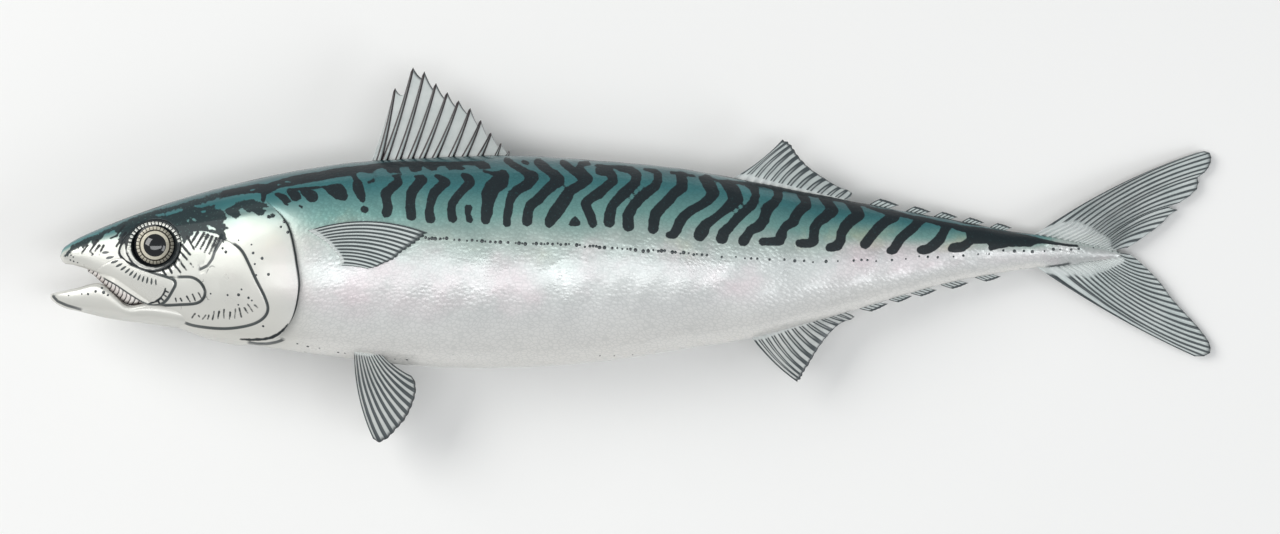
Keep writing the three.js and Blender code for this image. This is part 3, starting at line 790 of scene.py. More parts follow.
# Small scales that overlap towards the tail: relief, and a faint net between them.
fineScales, given, result = newGroup(
    "fineScales",
    {"Vector": None, "Scale": 900.0, "Stretch": 0.7},
    ["Height", "Net"],
)
stretch = addNode(fineScales, "ShaderNodeCombineXYZ", None, i0=given.outputs[2], i1=1.0, i2=1.0)
placed = stretchVector(fineScales, given.outputs[0], stretch.outputs[0])
for index, (feature, reach) in enumerate((("F1", 0.75), ("DISTANCE_TO_EDGE", 0.16))):
    sockets = {"Vector": placed, "Scale": given.outputs[1]}
    cells = addNode(fineScales, "ShaderNodeTexVoronoi", {"feature": feature}, **sockets)
    depth = fade(fineScales, cells.outputs["Distance"], 0.0, reach, 1.0, 0.0)
    fineScales.links.new(depth, result.inputs[index])

# Uneven cloudy patches, from 0 to 1.
skinMottle, given, result = newGroup(
    "skinMottle",
    {"Vector": None, "Scale": 60.0, "Low": 0.35, "High": 0.65},
    ["Patches"],
)
cloud = noise(skinMottle, given.outputs[0], given.outputs[1], 5.0, 0.6)
skinMottle.links.new(fade(skinMottle, cloud, given.outputs[2], given.outputs[3]), result.inputs[0])

# A film of water: roughness that runs from wet to nearly dry in soft patches.
wetFilm, given, result = newGroup(
    "wetFilm",
    {"Vector": None, "Wet": 0.2, "Dry": 0.4, "Scale": 45.0},
    ["Roughness"],
)
film = noise(wetFilm, given.outputs[0], given.outputs[3], 4.0)
wetFilm.links.new(fade(wetFilm, film, 0.3, 0.7, given.outputs[1], given.outputs[2]), result.inputs[0])


def useGroup(tree, group, **sockets):
    node = tree.nodes.new("ShaderNodeGroup")
    node.node_tree = group
    for key, value in sockets.items():
        if isinstance(value, bpy.types.NodeSocket):
            tree.links.new(value, node.inputs[key])
        else:
            node.inputs[key].default_value = value
    return node


def mottle(tree, at, scale, low, high):
    return useGroup(tree, skinMottle, Vector=at, Scale=scale, Low=low, High=high).outputs[0]


def wetness(tree, at, wet, dry, scale):
    return useGroup(tree, wetFilm, Vector=at, Wet=wet, Dry=dry, Scale=scale).outputs[0]


def newMaterial(name, **constants):  # a key's underscore stands for the space in a socket's name
    material = bpy.data.materials.new(name)
    material.use_nodes = True
    tree = material.node_tree
    shader = tree.nodes["Principled BSDF"]
    for key, value in constants.items():
        shader.inputs[key.replace("_", " ")].default_value = value
    where = tree.nodes.new("ShaderNodeTexCoord")
    return material, tree, shader, where


def splitFlat(tree, where):  # the two numbers of the flat map
    parts = addNode(tree, "ShaderNodeSeparateXYZ", None, i0=where.outputs["UV"])
    return parts.outputs[0], parts.outputs[1]


def plug(tree, shader, **sockets):
    for key, value in sockets.items():
        tree.links.new(value, shader.inputs[key.replace("_", " ")])


def bumpInto(tree, shader, height, strength, distance):
    bump = addNode(tree, "ShaderNodeBump", None, Strength=strength, Distance=distance, Height=height)
    tree.links.new(bump.outputs[0], shader.inputs["Normal"])


skinLook = {
    # colours by height, from the belly to the ridge of the back
    "bands": [
        (0.02, (0.80, 0.785, 0.75)),
        (0.24, (0.73, 0.74, 0.73)),
        (0.46, (0.63, 0.665, 0.655)),
        (0.60, (0.47, 0.57, 0.53)),
        (0.72, (0.21, 0.41, 0.38)),
        (0.88, (0.055, 0.21, 0.225)),
        (0.985, (0.03, 0.11, 0.125)),
    ],
    "rose": (0.80, 0.60, 0.66),
    "roseShare": 0.42,
    "gold": (0.72, 0.64, 0.38),
    "goldShare": 0.40,
    "cheek": (0.66, 0.655, 0.60),
    "cheekShare": 0.72,
    "scaleSize": 1.1,  # mm
    "net": (0.25, 0.30, 0.30),
    "netShare": 0.16,
    "bar": (0.006, 0.011, 0.015),
    "barSpeckle": (0.02, 0.07, 0.075),
    "crown": (0.010, 0.022, 0.026),
    "crownSpeckle": (0.05, 0.12, 0.11),
    "folds": 52.0,  # how many fine folds would go right round the eye
    # painted shade: the dark colour laid into the folds, the creases and the gill slit
    "line": (0.02, 0.032, 0.036),
    # inside the mouth: the flesh's own colour darkened with painted shade, with lighter patches
    "mouth": (0.09, 0.055, 0.055),
    "mouthPatch": (0.30, 0.20, 0.19),
}


def makeSkin():
    look = skinLook
    material, tree, shader, where = newMaterial("mackerelSkin", Coat_Roughness=0.08, IOR=1.36)
    at, flat = where.outputs["Object"], where.outputs["UV"]
    height = plus(tree, readMap(tree, "tone"), wobble(tree, at, 38.0, 0.16, 3.0))
    base = ramp(tree, height, look["bands"])
    # rose and gold play over the silver
    onSilver = times(tree, fade(tree, height, 0.16, 0.34), fade(tree, height, 0.70, 0.54))
    onShoulder = times(tree, fade(tree, height, 0.46, 0.58), fade(tree, height, 0.84, 0.68))
    rose = times(tree, mottle(tree, at, 26.0, 0.46, 0.68), onSilver, look["roseShare"])
    gold = times(tree, mottle(tree, at, 33.0, 0.52, 0.74), onShoulder, look["goldShare"])
    base = mixTwo(tree, rose, base, look["rose"])
    base = mixTwo(tree, gold, base, look["gold"])
    headness = readMap(tree, "headness")
    onCheek = times(tree, headness, fade(tree, height, 0.86, 0.66), look["cheekShare"])
    base = mixTwo(tree, onCheek, base, look["cheek"])
    scales = useGroup(tree, fineScales, Vector=flat, Scale=100.0 / look["scaleSize"], Stretch=0.72)
    onBody = fade(tree, headness, 0.9, 0.2)
    net = times(tree, scales.outputs["Net"], onBody, look["netShare"])
    base = mixTwo(tree, net, base, look["net"], "MULTIPLY")
    # the markings' edges wander a little
    dark = plus(tree, readMap(tree, "barField"), wobble(tree, at, 620.0, 0.5))
    top = plus(tree, readMap(tree, "crownField"), wobble(tree, at, 900.0, 1.5, 3.0))
    inBar, inCrown = fade(tree, dark, -0.25, 0.03), fade(tree, top, -0.18, 0.18)
    speckle = fade(tree, noise(tree, at, 1500.0, 2.0), 0.60, 0.70)
    barColour = mixTwo(tree, times(tree, speckle, 0.35), look["bar"], look["barSpeckle"])
    crownColour = mixTwo(tree, times(tree, speckle, 0.6), look["crown"], look["crownSpeckle"])
    base = mixTwo(tree, times(tree, inCrown, 0.97), base, crownColour)
    base = mixTwo(tree, times(tree, inBar, 0.98), base, barColour)
    # folds that point at the eye, the creases round the plates and the gill slit: painted shade darkens
    # them, and the bump sinks them
    turn = times(tree, readMap(tree, "eyeTurn"), look["folds"])
    ray = timesPlus(tree, compute(tree, "SINE", turn), 0.5, 0.5)
    folds = fade(tree, plus(tree, ray, readMap(tree, "radialFolds")), 1.42, 1.62)
    nearLine = compute(tree, "ABSOLUTE", readMap(tree, "plateField"))
    for key in ("lipField", "creaseField"):
        toLine = compute(tree, "ABSOLUTE", readMap(tree, key))
        nearLine = compute(tree, "MINIMUM", nearLine, toLine)
    drawn = times(tree, fade(tree, nearLine, 0.56, 0.34), readMap(tree, "lineShow"))
    creaseShade = larger(tree, folds, drawn, fade(tree, readMap(tree, "slitShade"), 0.25, 0.8))
    base = mixTwo(tree, times(tree, creaseShade, 0.92), base, look["line"])
    # inside the mouth the skin turns to flesh, darkened with painted shade
    inside = readMap(tree, "mouthInside")
    shadedFlesh = mixTwo(tree, mottle(tree, at, 240.0, 0.4, 0.6), look["mouth"], look["mouthPatch"])
    base = mixTwo(tree, inside, base, shadedFlesh)
    marked = larger(tree, inBar, inCrown)
    bare = minus(tree, 1.0, larger(tree, marked, creaseShade, inside))
    wet = wetness(tree, at, 0.26, 0.44, 55.0)
    plug(
        tree,
        shader,
        Base_Color=base,
        Metallic=times(tree, fade(tree, height, 0.10, 0.45, 0.16, 0.44), bare),
        Coat_Weight=fade(tree, marked, 0.0, 1.0, 0.5, 0.16),
        Roughness=timesPlus(tree, marked, 0.22, wet),
    )
    relief = times(tree, scales.outputs["Height"], onBody)
    relief = timesPlus(tree, noise(tree, at, 1300.0, 2.0), 0.35, relief)
    relief = timesPlus(tree, creaseShade, -1.2, relief)
    bumpInto(tree, shader, relief, 0.35, 0.12 * mm)
    return material


finInk = {"ray": (0.028, 0.040, 0.046), "root": (0.66, 0.69, 0.68)}
# web is the colour between the rays and clear how much shows through it; the rays start this
# share of the way out and are this wide; rimFrom and rimShare say where the rim darkens and how
# much; split parts each ray into two threads
finLooks = {
    "paleFin": {
        "web": (0.70, 0.72, 0.70), "clear": 0.30, "rayStart": 0.04, "rimShare": 0.95, "width": 0.27,
        "split": 0.8,
    },
    "backFin": {
        "web": (0.60, 0.66, 0.65), "clear": 0.32, "rayStart": 0.12, "rimShare": 0.95, "width": 0.27,
        "split": 0.8,
    },
    "finletSkin": {"web": (0.55, 0.62, 0.61), "rimShare": 1.0, "width": 0.17, "rimFrom": 0.72},
    "lowFinletSkin": {"web": (0.62, 0.66, 0.65), "rimShare": 1.0, "width": 0.16, "rimFrom": 0.72},
    "webFin": {
        "web": (0.68, 0.72, 0.71), "clear": 0.36, "rimShare": 0.95, "width": 0.0, "drawn": 0.0,
        "rimFrom": 0.94,
    },
    "tailFin": {
        "web": (0.62, 0.67, 0.66), "clear": 0.12, "rayStart": 0.02, "rimShare": 0.9, "width": 0.21,
        "rimFrom": 0.96,
    },
    "bellyFinSkin": {
        "web": (0.70, 0.72, 0.70), "clear": 0.30, "rimShare": 0.9, "width": 0.26, "rimFrom": 0.94,
    },
    "sideFin": {"web": (0.60, 0.65, 0.64), "rayStart": 0.02, "rimShare": 0.85, "width": 0.24},
}


def makeFin(name, web, rimShare, width, clear=0.0, rayStart=0.0, rimFrom=0.93, drawn=1.0, split=0.0):
    material, tree, shader, where = newMaterial(name, Coat_Weight=0.4, Coat_Roughness=0.12, IOR=1.42)
    at = where.outputs["Object"]
    phase, out = splitFlat(tree, where)
    saw = compute(tree, "PINGPONG", plus(tree, phase, wobble(tree, at, 160.0, 0.16)), 0.5)
    leading = fade(tree, phase, 0.5, 0.3, 0.0, 0.14)  # the leading edge is darker
    swell = plus(tree, wobble(tree, at, 70.0, 0.16, middle=width), leading)
    mask = fade(tree, minus(tree, saw, swell), 0.05, -0.05)
    if split:  # each ray is a pair of threads that meet towards the rim
        between = times(tree, fade(tree, saw, 0.12, 0.05), fade(tree, out, 0.85, 0.35, 0.0, split))
        mask = times(tree, mask, minus(tree, 1.0, between))
    start = wobble(tree, at, 240.0, 0.1, middle=rayStart)
    mask = times(tree, mask, fade(tree, minus(tree, out, start), 0.0, 0.04), drawn)
    deep = (web[0] * 0.6, web[1] * 0.68, web[2] * 0.68)
    colour = mixTwo(tree, times(tree, mottle(tree, at, 120.0, 0.35, 0.7), 0.35), web, deep)
    nearRoot = times(tree, fade(tree, out, rayStart + 0.1, rayStart - 0.08), 0.8)
    colour = mixTwo(tree, nearRoot, colour, finInk["root"])
    ink = larger(tree, mask, fade(tree, out, rimFrom, rimFrom + 0.055, 0.0, rimShare))
    colour = mixTwo(tree, times(tree, ink, 0.95), colour, finInk["ray"])
    seen = times(tree, fade(tree, out, rayStart + 0.02, rayStart + 0.25), clear)
    alpha = minus(tree, 1.0, times(tree, seen, minus(tree, 1.0, ink)))
    plug(tree, shader, Base_Color=colour, Alpha=alpha, Roughness=wetness(tree, at, 0.26, 0.46, 70.0))
    joints = compute(tree, "PINGPONG", times(tree, out, 30.0), 0.5)
    relief = timesPlus(tree, joints, 0.25, mask)
    relief = timesPlus(tree, noise(tree, at, 800.0, 2.0), 0.3, relief)
    bumpInto(tree, shader, relief, 0.4, 0.12 * mm)
    return material


eyeLook = {
    "pupil": (0.004, 0.005, 0.007),
    "ring": (0.93, 0.885, 0.73),
    "iris": (0.80, 0.765, 0.64),
    "dark": (0.012, 0.013, 0.016),
    "thread": (0.35, 0.27, 0.12),
    "haze": (0.3, 0.35, 0.4),
    # from the pupil's centre outwards, in cm
    "rings": [
        (0.0, "pupil"), (0.335, "pupil"), (0.35, "ring"), (0.425, "ring"), (0.435, "dark"),
        (0.47, "dark"), (0.48, "iris"), (0.555, "iris"), (0.57, "dark"), (1.0, "dark"),
    ],
    "beads": 30,
}


def makeEye():
    look = eyeLook
    material, tree, shader, where = newMaterial("wetEye", Coat_Weight=1.0, Coat_Roughness=0.03, IOR=1.45)
    at, flat = where.outputs["Object"], where.outputs["UV"]
    turn, out = splitFlat(tree, where)  # out is the distance from the pupil's centre in cm
    out = plus(tree, out, wobble(tree, at, 420.0, 0.016))
    colour = ramp(tree, out, [(place, look[word]) for place, word in look["rings"]])
    saw = compute(tree, "PINGPONG", times(tree, turn, look["beads"]), 0.5)
    inBeads = times(tree, fade(tree, out, 0.462, 0.474), fade(tree, out, 0.575, 0.563))
    colour = mixTwo(tree, times(tree, fade(tree, saw, 0.14, 0.08), inBeads), colour, look["dark"])
    spokes = noise(tree, stretchVector(tree, flat, (60.0, 3.0, 1.0)), 4.0, 4.0)
    inIris = times(tree, fade(tree, out, 0.34, 0.36), fade(tree, out, 0.57, 0.55))
    threads = times(tree, fade(tree, spokes, 0.45, 0.62), inIris, 0.3)
    colour = mixTwo(tree, threads, colour, look["thread"])
    haze = times(tree, mottle(tree, at, 500.0, 0.5, 0.8), 0.05)
    colour = mixTwo(tree, haze, colour, look["haze"])
    wet = wetness(tree, at, 0.06, 0.14, 120.0)
    plug(tree, shader, Base_Color=colour, Metallic=times(tree, inIris, 0.35), Roughness=wet)
    return material


plainLooks = {
    # each spine: a painted highlight along its middle and painted shade down its sides
    "finSpine": {
        "light": (0.46, 0.52, 0.51), "deep": (0.30, 0.36, 0.36), "scale": 300.0, "film": (0.25, 0.4),
        "bump": 0.05, "groove": "roundShade", "Coat_Weight": 0.4, "Coat_Roughness": 0.12,
    },
    "eyeBeads": {
        "light": (0.74, 0.74, 0.68), "deep": (0.55, 0.57, 0.53), "scale": 500.0, "film": (0.15, 0.3),
        "bump": 0.04, "Coat_Weight": 0.6, "Coat_Roughness": 0.08, "Metallic": 0.3,
    },
    # the gape's folds: painted shade in the grooves between them
    "mouthFolds": {
        "light": (0.76, 0.735, 0.70), "deep": (0.61, 0.555, 0.525), "scale": 320.0, "film": (0.18, 0.34),
        "bump": 0.08, "groove": "fold", "Coat_Weight": 0.6, "Coat_Roughness": 0.08,
    },
    "darkPores": {
        "light": (0.02, 0.028, 0.032), "deep": (0.06, 0.075, 0.08), "scale": 600.0, "film": (0.22, 0.36),
        "bump": 0.03, "Coat_Weight": 0.4, "Coat_Roughness": 0.1,
    },
}
grooveShade = (0.03, 0.022, 0.024)


def makePlain(name, light, deep, scale, film, bump, groove=None, **constants):
    # groove names the map whose low values get painted shade
    material, tree, shader, where = newMaterial(name, **constants)
    at = where.outputs["Object"]
    colour = mixTwo(tree, mottle(tree, at, scale, 0.32, 0.7), light, deep)
    if groove:
        colour = mixTwo(tree, fade(tree, readMap(tree, groove), 0.62, 0.3), colour, grooveShade)
    plug(tree, shader, Base_Color=colour, Roughness=wetness(tree, at, *film, scale * 0.5))
    bumpInto(tree, shader, noise(tree, at, scale * 5, 3.0), 0.4, bump * mm)
    return material


skinMaterial = makeSkin()
eyeMaterial = makeEye()
finMaterials = {name: makeFin(name, **look) for name, look in finLooks.items()}
plainMaterials = {name: makePlain(name, **look) for name, look in plainLooks.items()}
print("materials ready")

# The body and the head: rings of points along the fish. The ring at the gill cover's edge is
# repeated by the fold's rings, which turn under it.
bodyGrid = {
    "around": 240,
    "snout": [3.0, 3.12, 3.35, 3.7, 4.15, 4.7, 5.3],  # rings close together at the tip
    # each ring of the fold: its x, its shift and its lift where the slit is open
    "fold": [
        (75.0, 0.0, 0.62), (74.98, -0.35, 0.22), (74.98, -0.6, -0.1), (75.04, -0.45, -0.32),
        (75.2, 0.0, -0.34),
    ],
    "behind": [75.6, 76.1, 76.7, 77.4],  # and behind the gill cover
    "wall": 1.5,  # how thick the lips are
    "arch": 3.6,  # how far the roof of the mouth rises
}
# What rises from the skin or sinks into it.
bodyRelief = {
    "slitGroove": {"depth": 0.34, "start": 75.2, "length": 1.6},  # behind the gill cover
    "socket": {"depth": 3.4, "rim": 8.0, "foot": 6.9},  # where its wall starts and ends
    "crease": {"depth": 0.22, "width": 0.5},
    "keel": {"rise": 0.55, "width": 0.7},  # the two on each side of the tail stem
    "keels": [[(298.4, -3.4), (303, -2.9), (308, -2.2)], [(299.6, 3.4), (304, 3), (309.5, 2.2)]],
    "muscle": 0.06,
    "slack": 0.16,
}
shares = np.linspace(0, 1, bodyGrid["around"] + 1)
headRings = np.concatenate([
    bodyGrid["snout"], np.arange(6, 56, 0.36), np.arange(56.2, 74.6, 0.5), [74.7, gill["rear"]],
])
rearRings = np.concatenate([
    bodyGrid["behind"], np.arange(78.2, 110, 0.95), np.arange(110.8, 321.2, 1.3), [321.5],
])
foldRings, foldShifts, foldLifts = np.array(bodyGrid["fold"]).T
firstFold, firstRear = len(headRings), len(headRings) + len(foldRings)
ringBase = np.concatenate([headRings, foldRings, rearRings])
ringShift = np.zeros(len(ringBase))
ringShift[firstFold:firstRear] = foldShifts
ringIndex = np.arange(len(ringBase))[:, None]

# the gill cover's rear edge, as x and y by share of the turn
edgeTop, edgeBottom = backLine(gillPath[:, 0]), bellyLine(gillPath[:, 0])
edgeMiddle = edgeBottom + widest * (edgeTop - edgeBottom)
above = gillPath[:, 1] > edgeMiddle
edgeReach = np.where(above, edgeTop - edgeMiddle, edgeMiddle - edgeBottom)
edgePower = np.where(above, upperPower, lowerPowerLine(gillPath[:, 0]))
edgeCos = np.clip(np.abs(gillPath[:, 1] - edgeMiddle) / edgeReach, 0, 1) ** (1 / edgePower)
edgeShare = np.arccos(np.where(above, edgeCos, -edgeCos)) / (2 * np.pi)
half = np.where(shares > 0.5, 1 - shares, shares)
edgeX = np.interp(half, edgeShare, gillPath[:, 0], left=64, right=54)
edgeX = np.convolve(np.concatenate([edgeX[-7:-1], edgeX, edgeX[1:7]]), np.ones(5) / 5, "same")[6:-6]
edgeY = np.interp(half, edgeShare, gillPath[:, 1], left=18, right=-27)
slit = easeIn(16.5, 12.5, edgeY) * easeIn(-26.9, -25.5, edgeY)  # how open the slit is

# the rings near the edge bend to follow it
rear = gill["rear"]
ahead = ringBase <= rear + 0.01
weight = np.where(ahead, easeIn(22, rear, ringBase), easeIn(108, rear, ringBase))
bx = ringBase[:, None] + weight[:, None] * (edgeX[None] - rear)
bx = np.maximum.accumulate(bx, axis=0) + ringIndex * 1e-4
bx = np.clip(bx, 3, 321.6) + ringShift[:, None] * slit[None]
by, bz = sectionPoint(backLine(bx), bellyLine(bx), halfWidthLine(bx), shares[None], lowerPowerLine(bx))


def surfaceNormals(x, y, z):
    p = np.stack([x, y, z], -1)
    alongIt = np.gradient(p, axis=0)
    aroundIt = np.gradient(p, axis=1)
    aroundIt[:, 0] = aroundIt[:, -1] = p[:, 1] - p[:, -2]
    n = np.cross(aroundIt, alongIt)
    n /= np.maximum(np.linalg.norm(n, axis=-1, keepdims=True), 1e-9)
    fromAxis = np.stack([0 * x, y - (backLine(x) + bellyLine(x)) / 2, z], -1)
    outward = np.sign((n * fromAxis).sum(-1, keepdims=True))
    return n * np.where(outward == 0, 1, outward)


normal = surfaceNormals(bx, by, bz)
lift = np.where(ringIndex < firstFold, swellAt(bx, edgeX[None]) * slit[None], 0)
for i, share in enumerate(foldLifts):
    lift[firstFold + i] = slit * (gill["rise"] * share if share > 0 else share)
groove = bodyRelief["slitGroove"]
behindSlit = (ringBase[firstRear:, None] - groove["start"]) / groove["length"]
lift[firstRear:] -= groove["depth"] * slit[None] * np.exp(-behindSlit)
# the eye's socket, the creases behind the eye and on the throat, and the tail stem's keels
socket, crease, keel = bodyRelief["socket"], bodyRelief["crease"], bodyRelief["keel"]
toEye = np.hypot(bx - eye["x"], by - eye["y"])
lift -= socket["depth"] * easeIn(socket["rim"], socket["foot"], toEye) * (np.abs(bz) > 3)
shown = easeIn(-0.4, 0.5, largest(pathField(path, bx, by) for path in cheek["shown"][:2]))
for patch in cheek["creasePatches"][:2]:
    d = patchField(patch, bx, by)
    lift -= crease["depth"] * np.exp(-((d / crease["width"]) ** 2)) * shown
for path in bodyRelief["keels"]:
    d = pathField([(a, b, 0) for a, b in path], bx, by)
    lift += keel["rise"] * np.exp(-((d / keel["width"]) ** 2))
# muscle under the skin, slack belly
muscle = np.sin(bx * 0.55 + 0.35 * np.abs(by) + 1.4 * np.sin(bx * 0.071))
slack = np.sin(bx * 0.115 + 1.3) * np.sin(by * 0.16 + 0.5)
lift += bodyRelief["muscle"] * muscle * easeIn(84, 100, bx) * easeIn(300, 280, bx)
lift += bodyRelief["slack"] * slack * easeIn(80, 110, bx) * easeIn(290, 250, bx)
px, py, pz = bx + normal[..., 0] * lift, by + normal[..., 1] * lift, bz + normal[..., 2] * lift
# the roof of the mouth arches up between the lips
fromLip = halfWidthLine(bx) - bodyGrid["wall"] - np.abs(bz)
under = (by < bellyLine(bx) + 1.2) & (bx < 34)
roof = easeIn(0, 2.2, fromLip) * easeIn(4.2, 8, bx) * easeIn(33, 29, bx)
py = py + np.where(under, bodyGrid["arch"] * roof, 0)
maps = skinMaps(px, py, pz)
# painted shade: a dark line on the fold's rings where the gill slit opens
maps["slitShade"] = np.where((ringIndex >= firstFold) & (ringIndex < firstRear), slit[None], 0.0)
# painted shade: the roof of the mouth takes the darkened flesh colour
maps["mouthInside"] = np.where(under, roof, 0)
arc = np.cumsum(np.hypot(np.diff(py, axis=1), np.diff(pz, axis=1)), axis=1)
arc = np.concatenate([np.zeros((len(ringBase), 1)), arc], axis=1)
skinUv = np.stack([bx / 100, arc / 100], -1)


def closeEnds(field, *ends):  # one more ring at each end, of the given values or like the next ring
    first, last = ends or (field[:1], field[-1:])
    shape = field[:1].shape
    return np.concatenate([np.broadcast_to(first, shape), field, np.broadcast_to(last, shape)])


def tubePiece(name, rings, ends, tubeMaps, uv=None, mapEnds=()):
    # rings holds x, y and z, and ends the two points that close it, also as x, y and z
    x, y, z = (closeEnds(field, *pair) for field, pair in zip(rings, ends))
    tubeMaps = {key: closeEnds(value, *mapEnds) for key, value in tubeMaps.items()}
    return gridPiece(name, toRow(x, y, z), tubeMaps, None if uv is None else closeEnds(uv))


def blank(pieceMaps, value, *keys):  # so that these marks don't show on a piece
    for key in keys:
        pieceMaps[key] = np.full(pieceMaps["tone"].shape, value)


body = tubePiece("body", (px, py, pz), ((2.8, 321.8), (-0.5, 0.0), (0.0, 0.0)), maps, skinUv)
finishPiece(body, skinMaterial)
print("body", len(body.data.polygons))

# The lower jaw, with a trough between its lips.
jawAround = np.linspace(0, 1, 121)
jawRings = np.concatenate([[0.12, 0.25, 0.5, 0.9, 1.4, 2, 2.7, 3.5], np.arange(4.2, 56, 0.5)])
jx = np.repeat(jawRings[:, None], len(jawAround), axis=1)
jawTop, jawBottom = jaw["top"](jx), jaw["bottom"](jx)
jy, jz = sectionPoint(
    jawTop, jawBottom, jawHalf(jx), jawAround[None], upperPower, jaw["power"], jaw["widest"]
)
fromLip = jawHalf(jx) - jaw["lip"] - np.abs(jz)
upper = np.cos(jawAround * 2 * np.pi)[None] > 0
trough = easeIn(0, 1.8, fromLip) * easeIn(1.8, 5, jx) * easeIn(36, 30, jx)
jy = jy - np.where(upper, jaw["trough"] * trough, 0)
chin = jaw["chinGroove"]  # it runs between the two jaw bones
dent = chin["depth"] * np.exp(-(((np.abs(jz) - chin["at"]) / chin["width"]) ** 2))
jy = jy + np.where(~upper, dent * easeIn(6, 14, jx), 0)
jawMaps = skinMaps(jx, jy, jz)
jawShare = (jy - jawBottom) / (jawTop - jawBottom)
jawMaps["tone"] = np.clip(jaw["toneSpan"] * jawShare + jaw["lowTone"], 0, 1)
# painted shade: the trough between the lips takes the darkened flesh colour
jawMaps["mouthInside"] = np.where(upper, trough, 0)
jawMaps["creaseField"] = np.clip(patchField(jaw["creasePatch"], jx, jy), -2, 2)
jawMaps["lineShow"] = easeIn(-0.4, 0.4, pathField(jaw["creaseShown"], jx, jy))
blank(jawMaps, -3.0, "barField", "crownField")
blank(jawMaps, -2.0, "plateField", "lipField")
jawUv = np.stack([jx / 100, np.broadcast_to(jawAround[None] * 0.5, jx.shape)], -1)
jawEnds = ((0.02, 56.2), (-12.5, -20.0), (0.0, 0.0))
lowerJaw = tubePiece("lowerJaw", (jx, jy, jz), jawEnds, jawMaps, jawUv)
finishPiece(lowerJaw, skinMaterial)

# The folds of skin at the corners of the gape: the first rings grow to full size.
growth = {26: 0.02, 20: 0.35, 15: 0.72, 12.2: 0.93}
foldX = np.concatenate([list(growth), np.arange(pleats["from"], pleats["to"], 0.15)])
shrink = np.concatenate([list(growth.values()), np.ones(len(foldX) - len(growth))])[:, None]
foldAround = np.linspace(0, 1, 81)
gx = np.repeat(foldX[:, None], len(foldAround), axis=1)
topEdge, bottomEdge = bellyLine(gx) + 2.2, np.minimum(pleats["low"](gx), bellyLine(gx) - 0.1)
centreY = (topEdge + bottomEdge) / 2
rough = centreY + (topEdge - bottomEdge) / 2 * np.cos(foldAround * 2 * np.pi)
isFull = shrink > 0.99
acrossFolds = (gx - pleats["lean"] * (rough + 8)) / pleats["pitch"]
ridges = np.abs(np.sin(np.pi * acrossFolds)) ** pleats["sharpness"]
ridges = ridges * np.where(isFull, 1, 0.5 * shrink**4)
wide = (foldHalf(gx) + pleats["depth"] * ridges * isFull) * shrink
topEdge = centreY + (topEdge - centreY) * shrink
bottomEdge = centreY + (bottomEdge - centreY) * shrink
power = pleats["power"]
gy, gz = sectionPoint(topEdge, bottomEdge, wide, foldAround[None], power, power, 0.5)
foldEnds = ((26.5, 31.2), (-12.0, -15.5), (0.0, 0.0))
gape = tubePiece("gapeFolds", (gx, gy, gz), foldEnds, {"fold": ridges}, mapEnds=(0.0, 0.0))
finishPiece(gape, plainMaterials["mouthFolds"])
print("jaws ready")

# The bony plates on the head. Each outline is repeated further in, and rises off the skin
# within the first insets; its rim has a wall that stands on the skin.
plateForm = {
    "sink": 0.3,  # how far under the skin the front of a plate starts
    "overJaw": 0.55,
    "overFolds": 0.3,
    "wall": 1.6,
}
insets = np.concatenate([
    [0, 0, 0.006, 0.016, 0.03, 0.048], np.arange(0.07, 0.56, 0.03), [0.65, 0.77, 0.89, 1],
])
insetLift = np.interp(insets, [0, 0.006, 0.016, 0.03, 0.048, 0.07], [0.12, 0.42, 0.68, 0.86, 0.96, 1])
insetLift[0] = 0


def headPlate(name, plate, side):
    outline = bendThrough(plate["outline"], 14, closed=True)
    outline = along(np.vstack([outline, outline[:1]]), np.linspace(0, 1, 221))
    centre = np.array(plate["centre"])
    spread = centre + (outline[None] - centre) * (1 - insets[:, None, None])
    x, y = spread[..., 0], spread[..., 1]
    share = np.clip((x - plate["from"]) / (plate["to"] - plate["from"]), 0, 1)
    rise = (plate["rise"] + plateForm["sink"]) * share ** plate["power"] - plateForm["sink"]
    edge = insetLift[:, None]
    z = flankAt(x, y) + gillLift(x, y) + np.where(rise > 0, rise * edge, rise)
    if name.startswith("upper"):  # the upper jaw's pieces lap over the lower jaw and the folds
        z = np.maximum(z, jawFlankAt(x, y) + plateForm["overJaw"] * edge)
    if name.startswith("upperJawPlate"):
        z = np.maximum(z, foldHalf(x) + pleats["depth"] + plateForm["overFolds"] * edge)
    z[0] -= plateForm["wall"]
    z = side * z
    plateMaps = skinMaps(x, y, z)
    blank(plateMaps, 0.0, "mouthInside")
    # the jaw's pieces lie over the cheek's, so the painted shade along their edges isn't drawn on it
    blank(plateMaps, -2.0, "lipField" if name.startswith("cheek") else "plateField")
    if name.startswith("upperJawPlate"):
        blank(plateMaps, -2.0, "creaseField")
    return gridPiece(name, toRow(x, y, z), plateMaps, np.stack([x / 100, y / 100], -1))


for name, plate in plates.items():
    for sideName, side in (("Left", 1), ("Right", -1)):
        finishPiece(headPlate(name + sideName, plate, side), skinMaterial)
print("head plates ready")

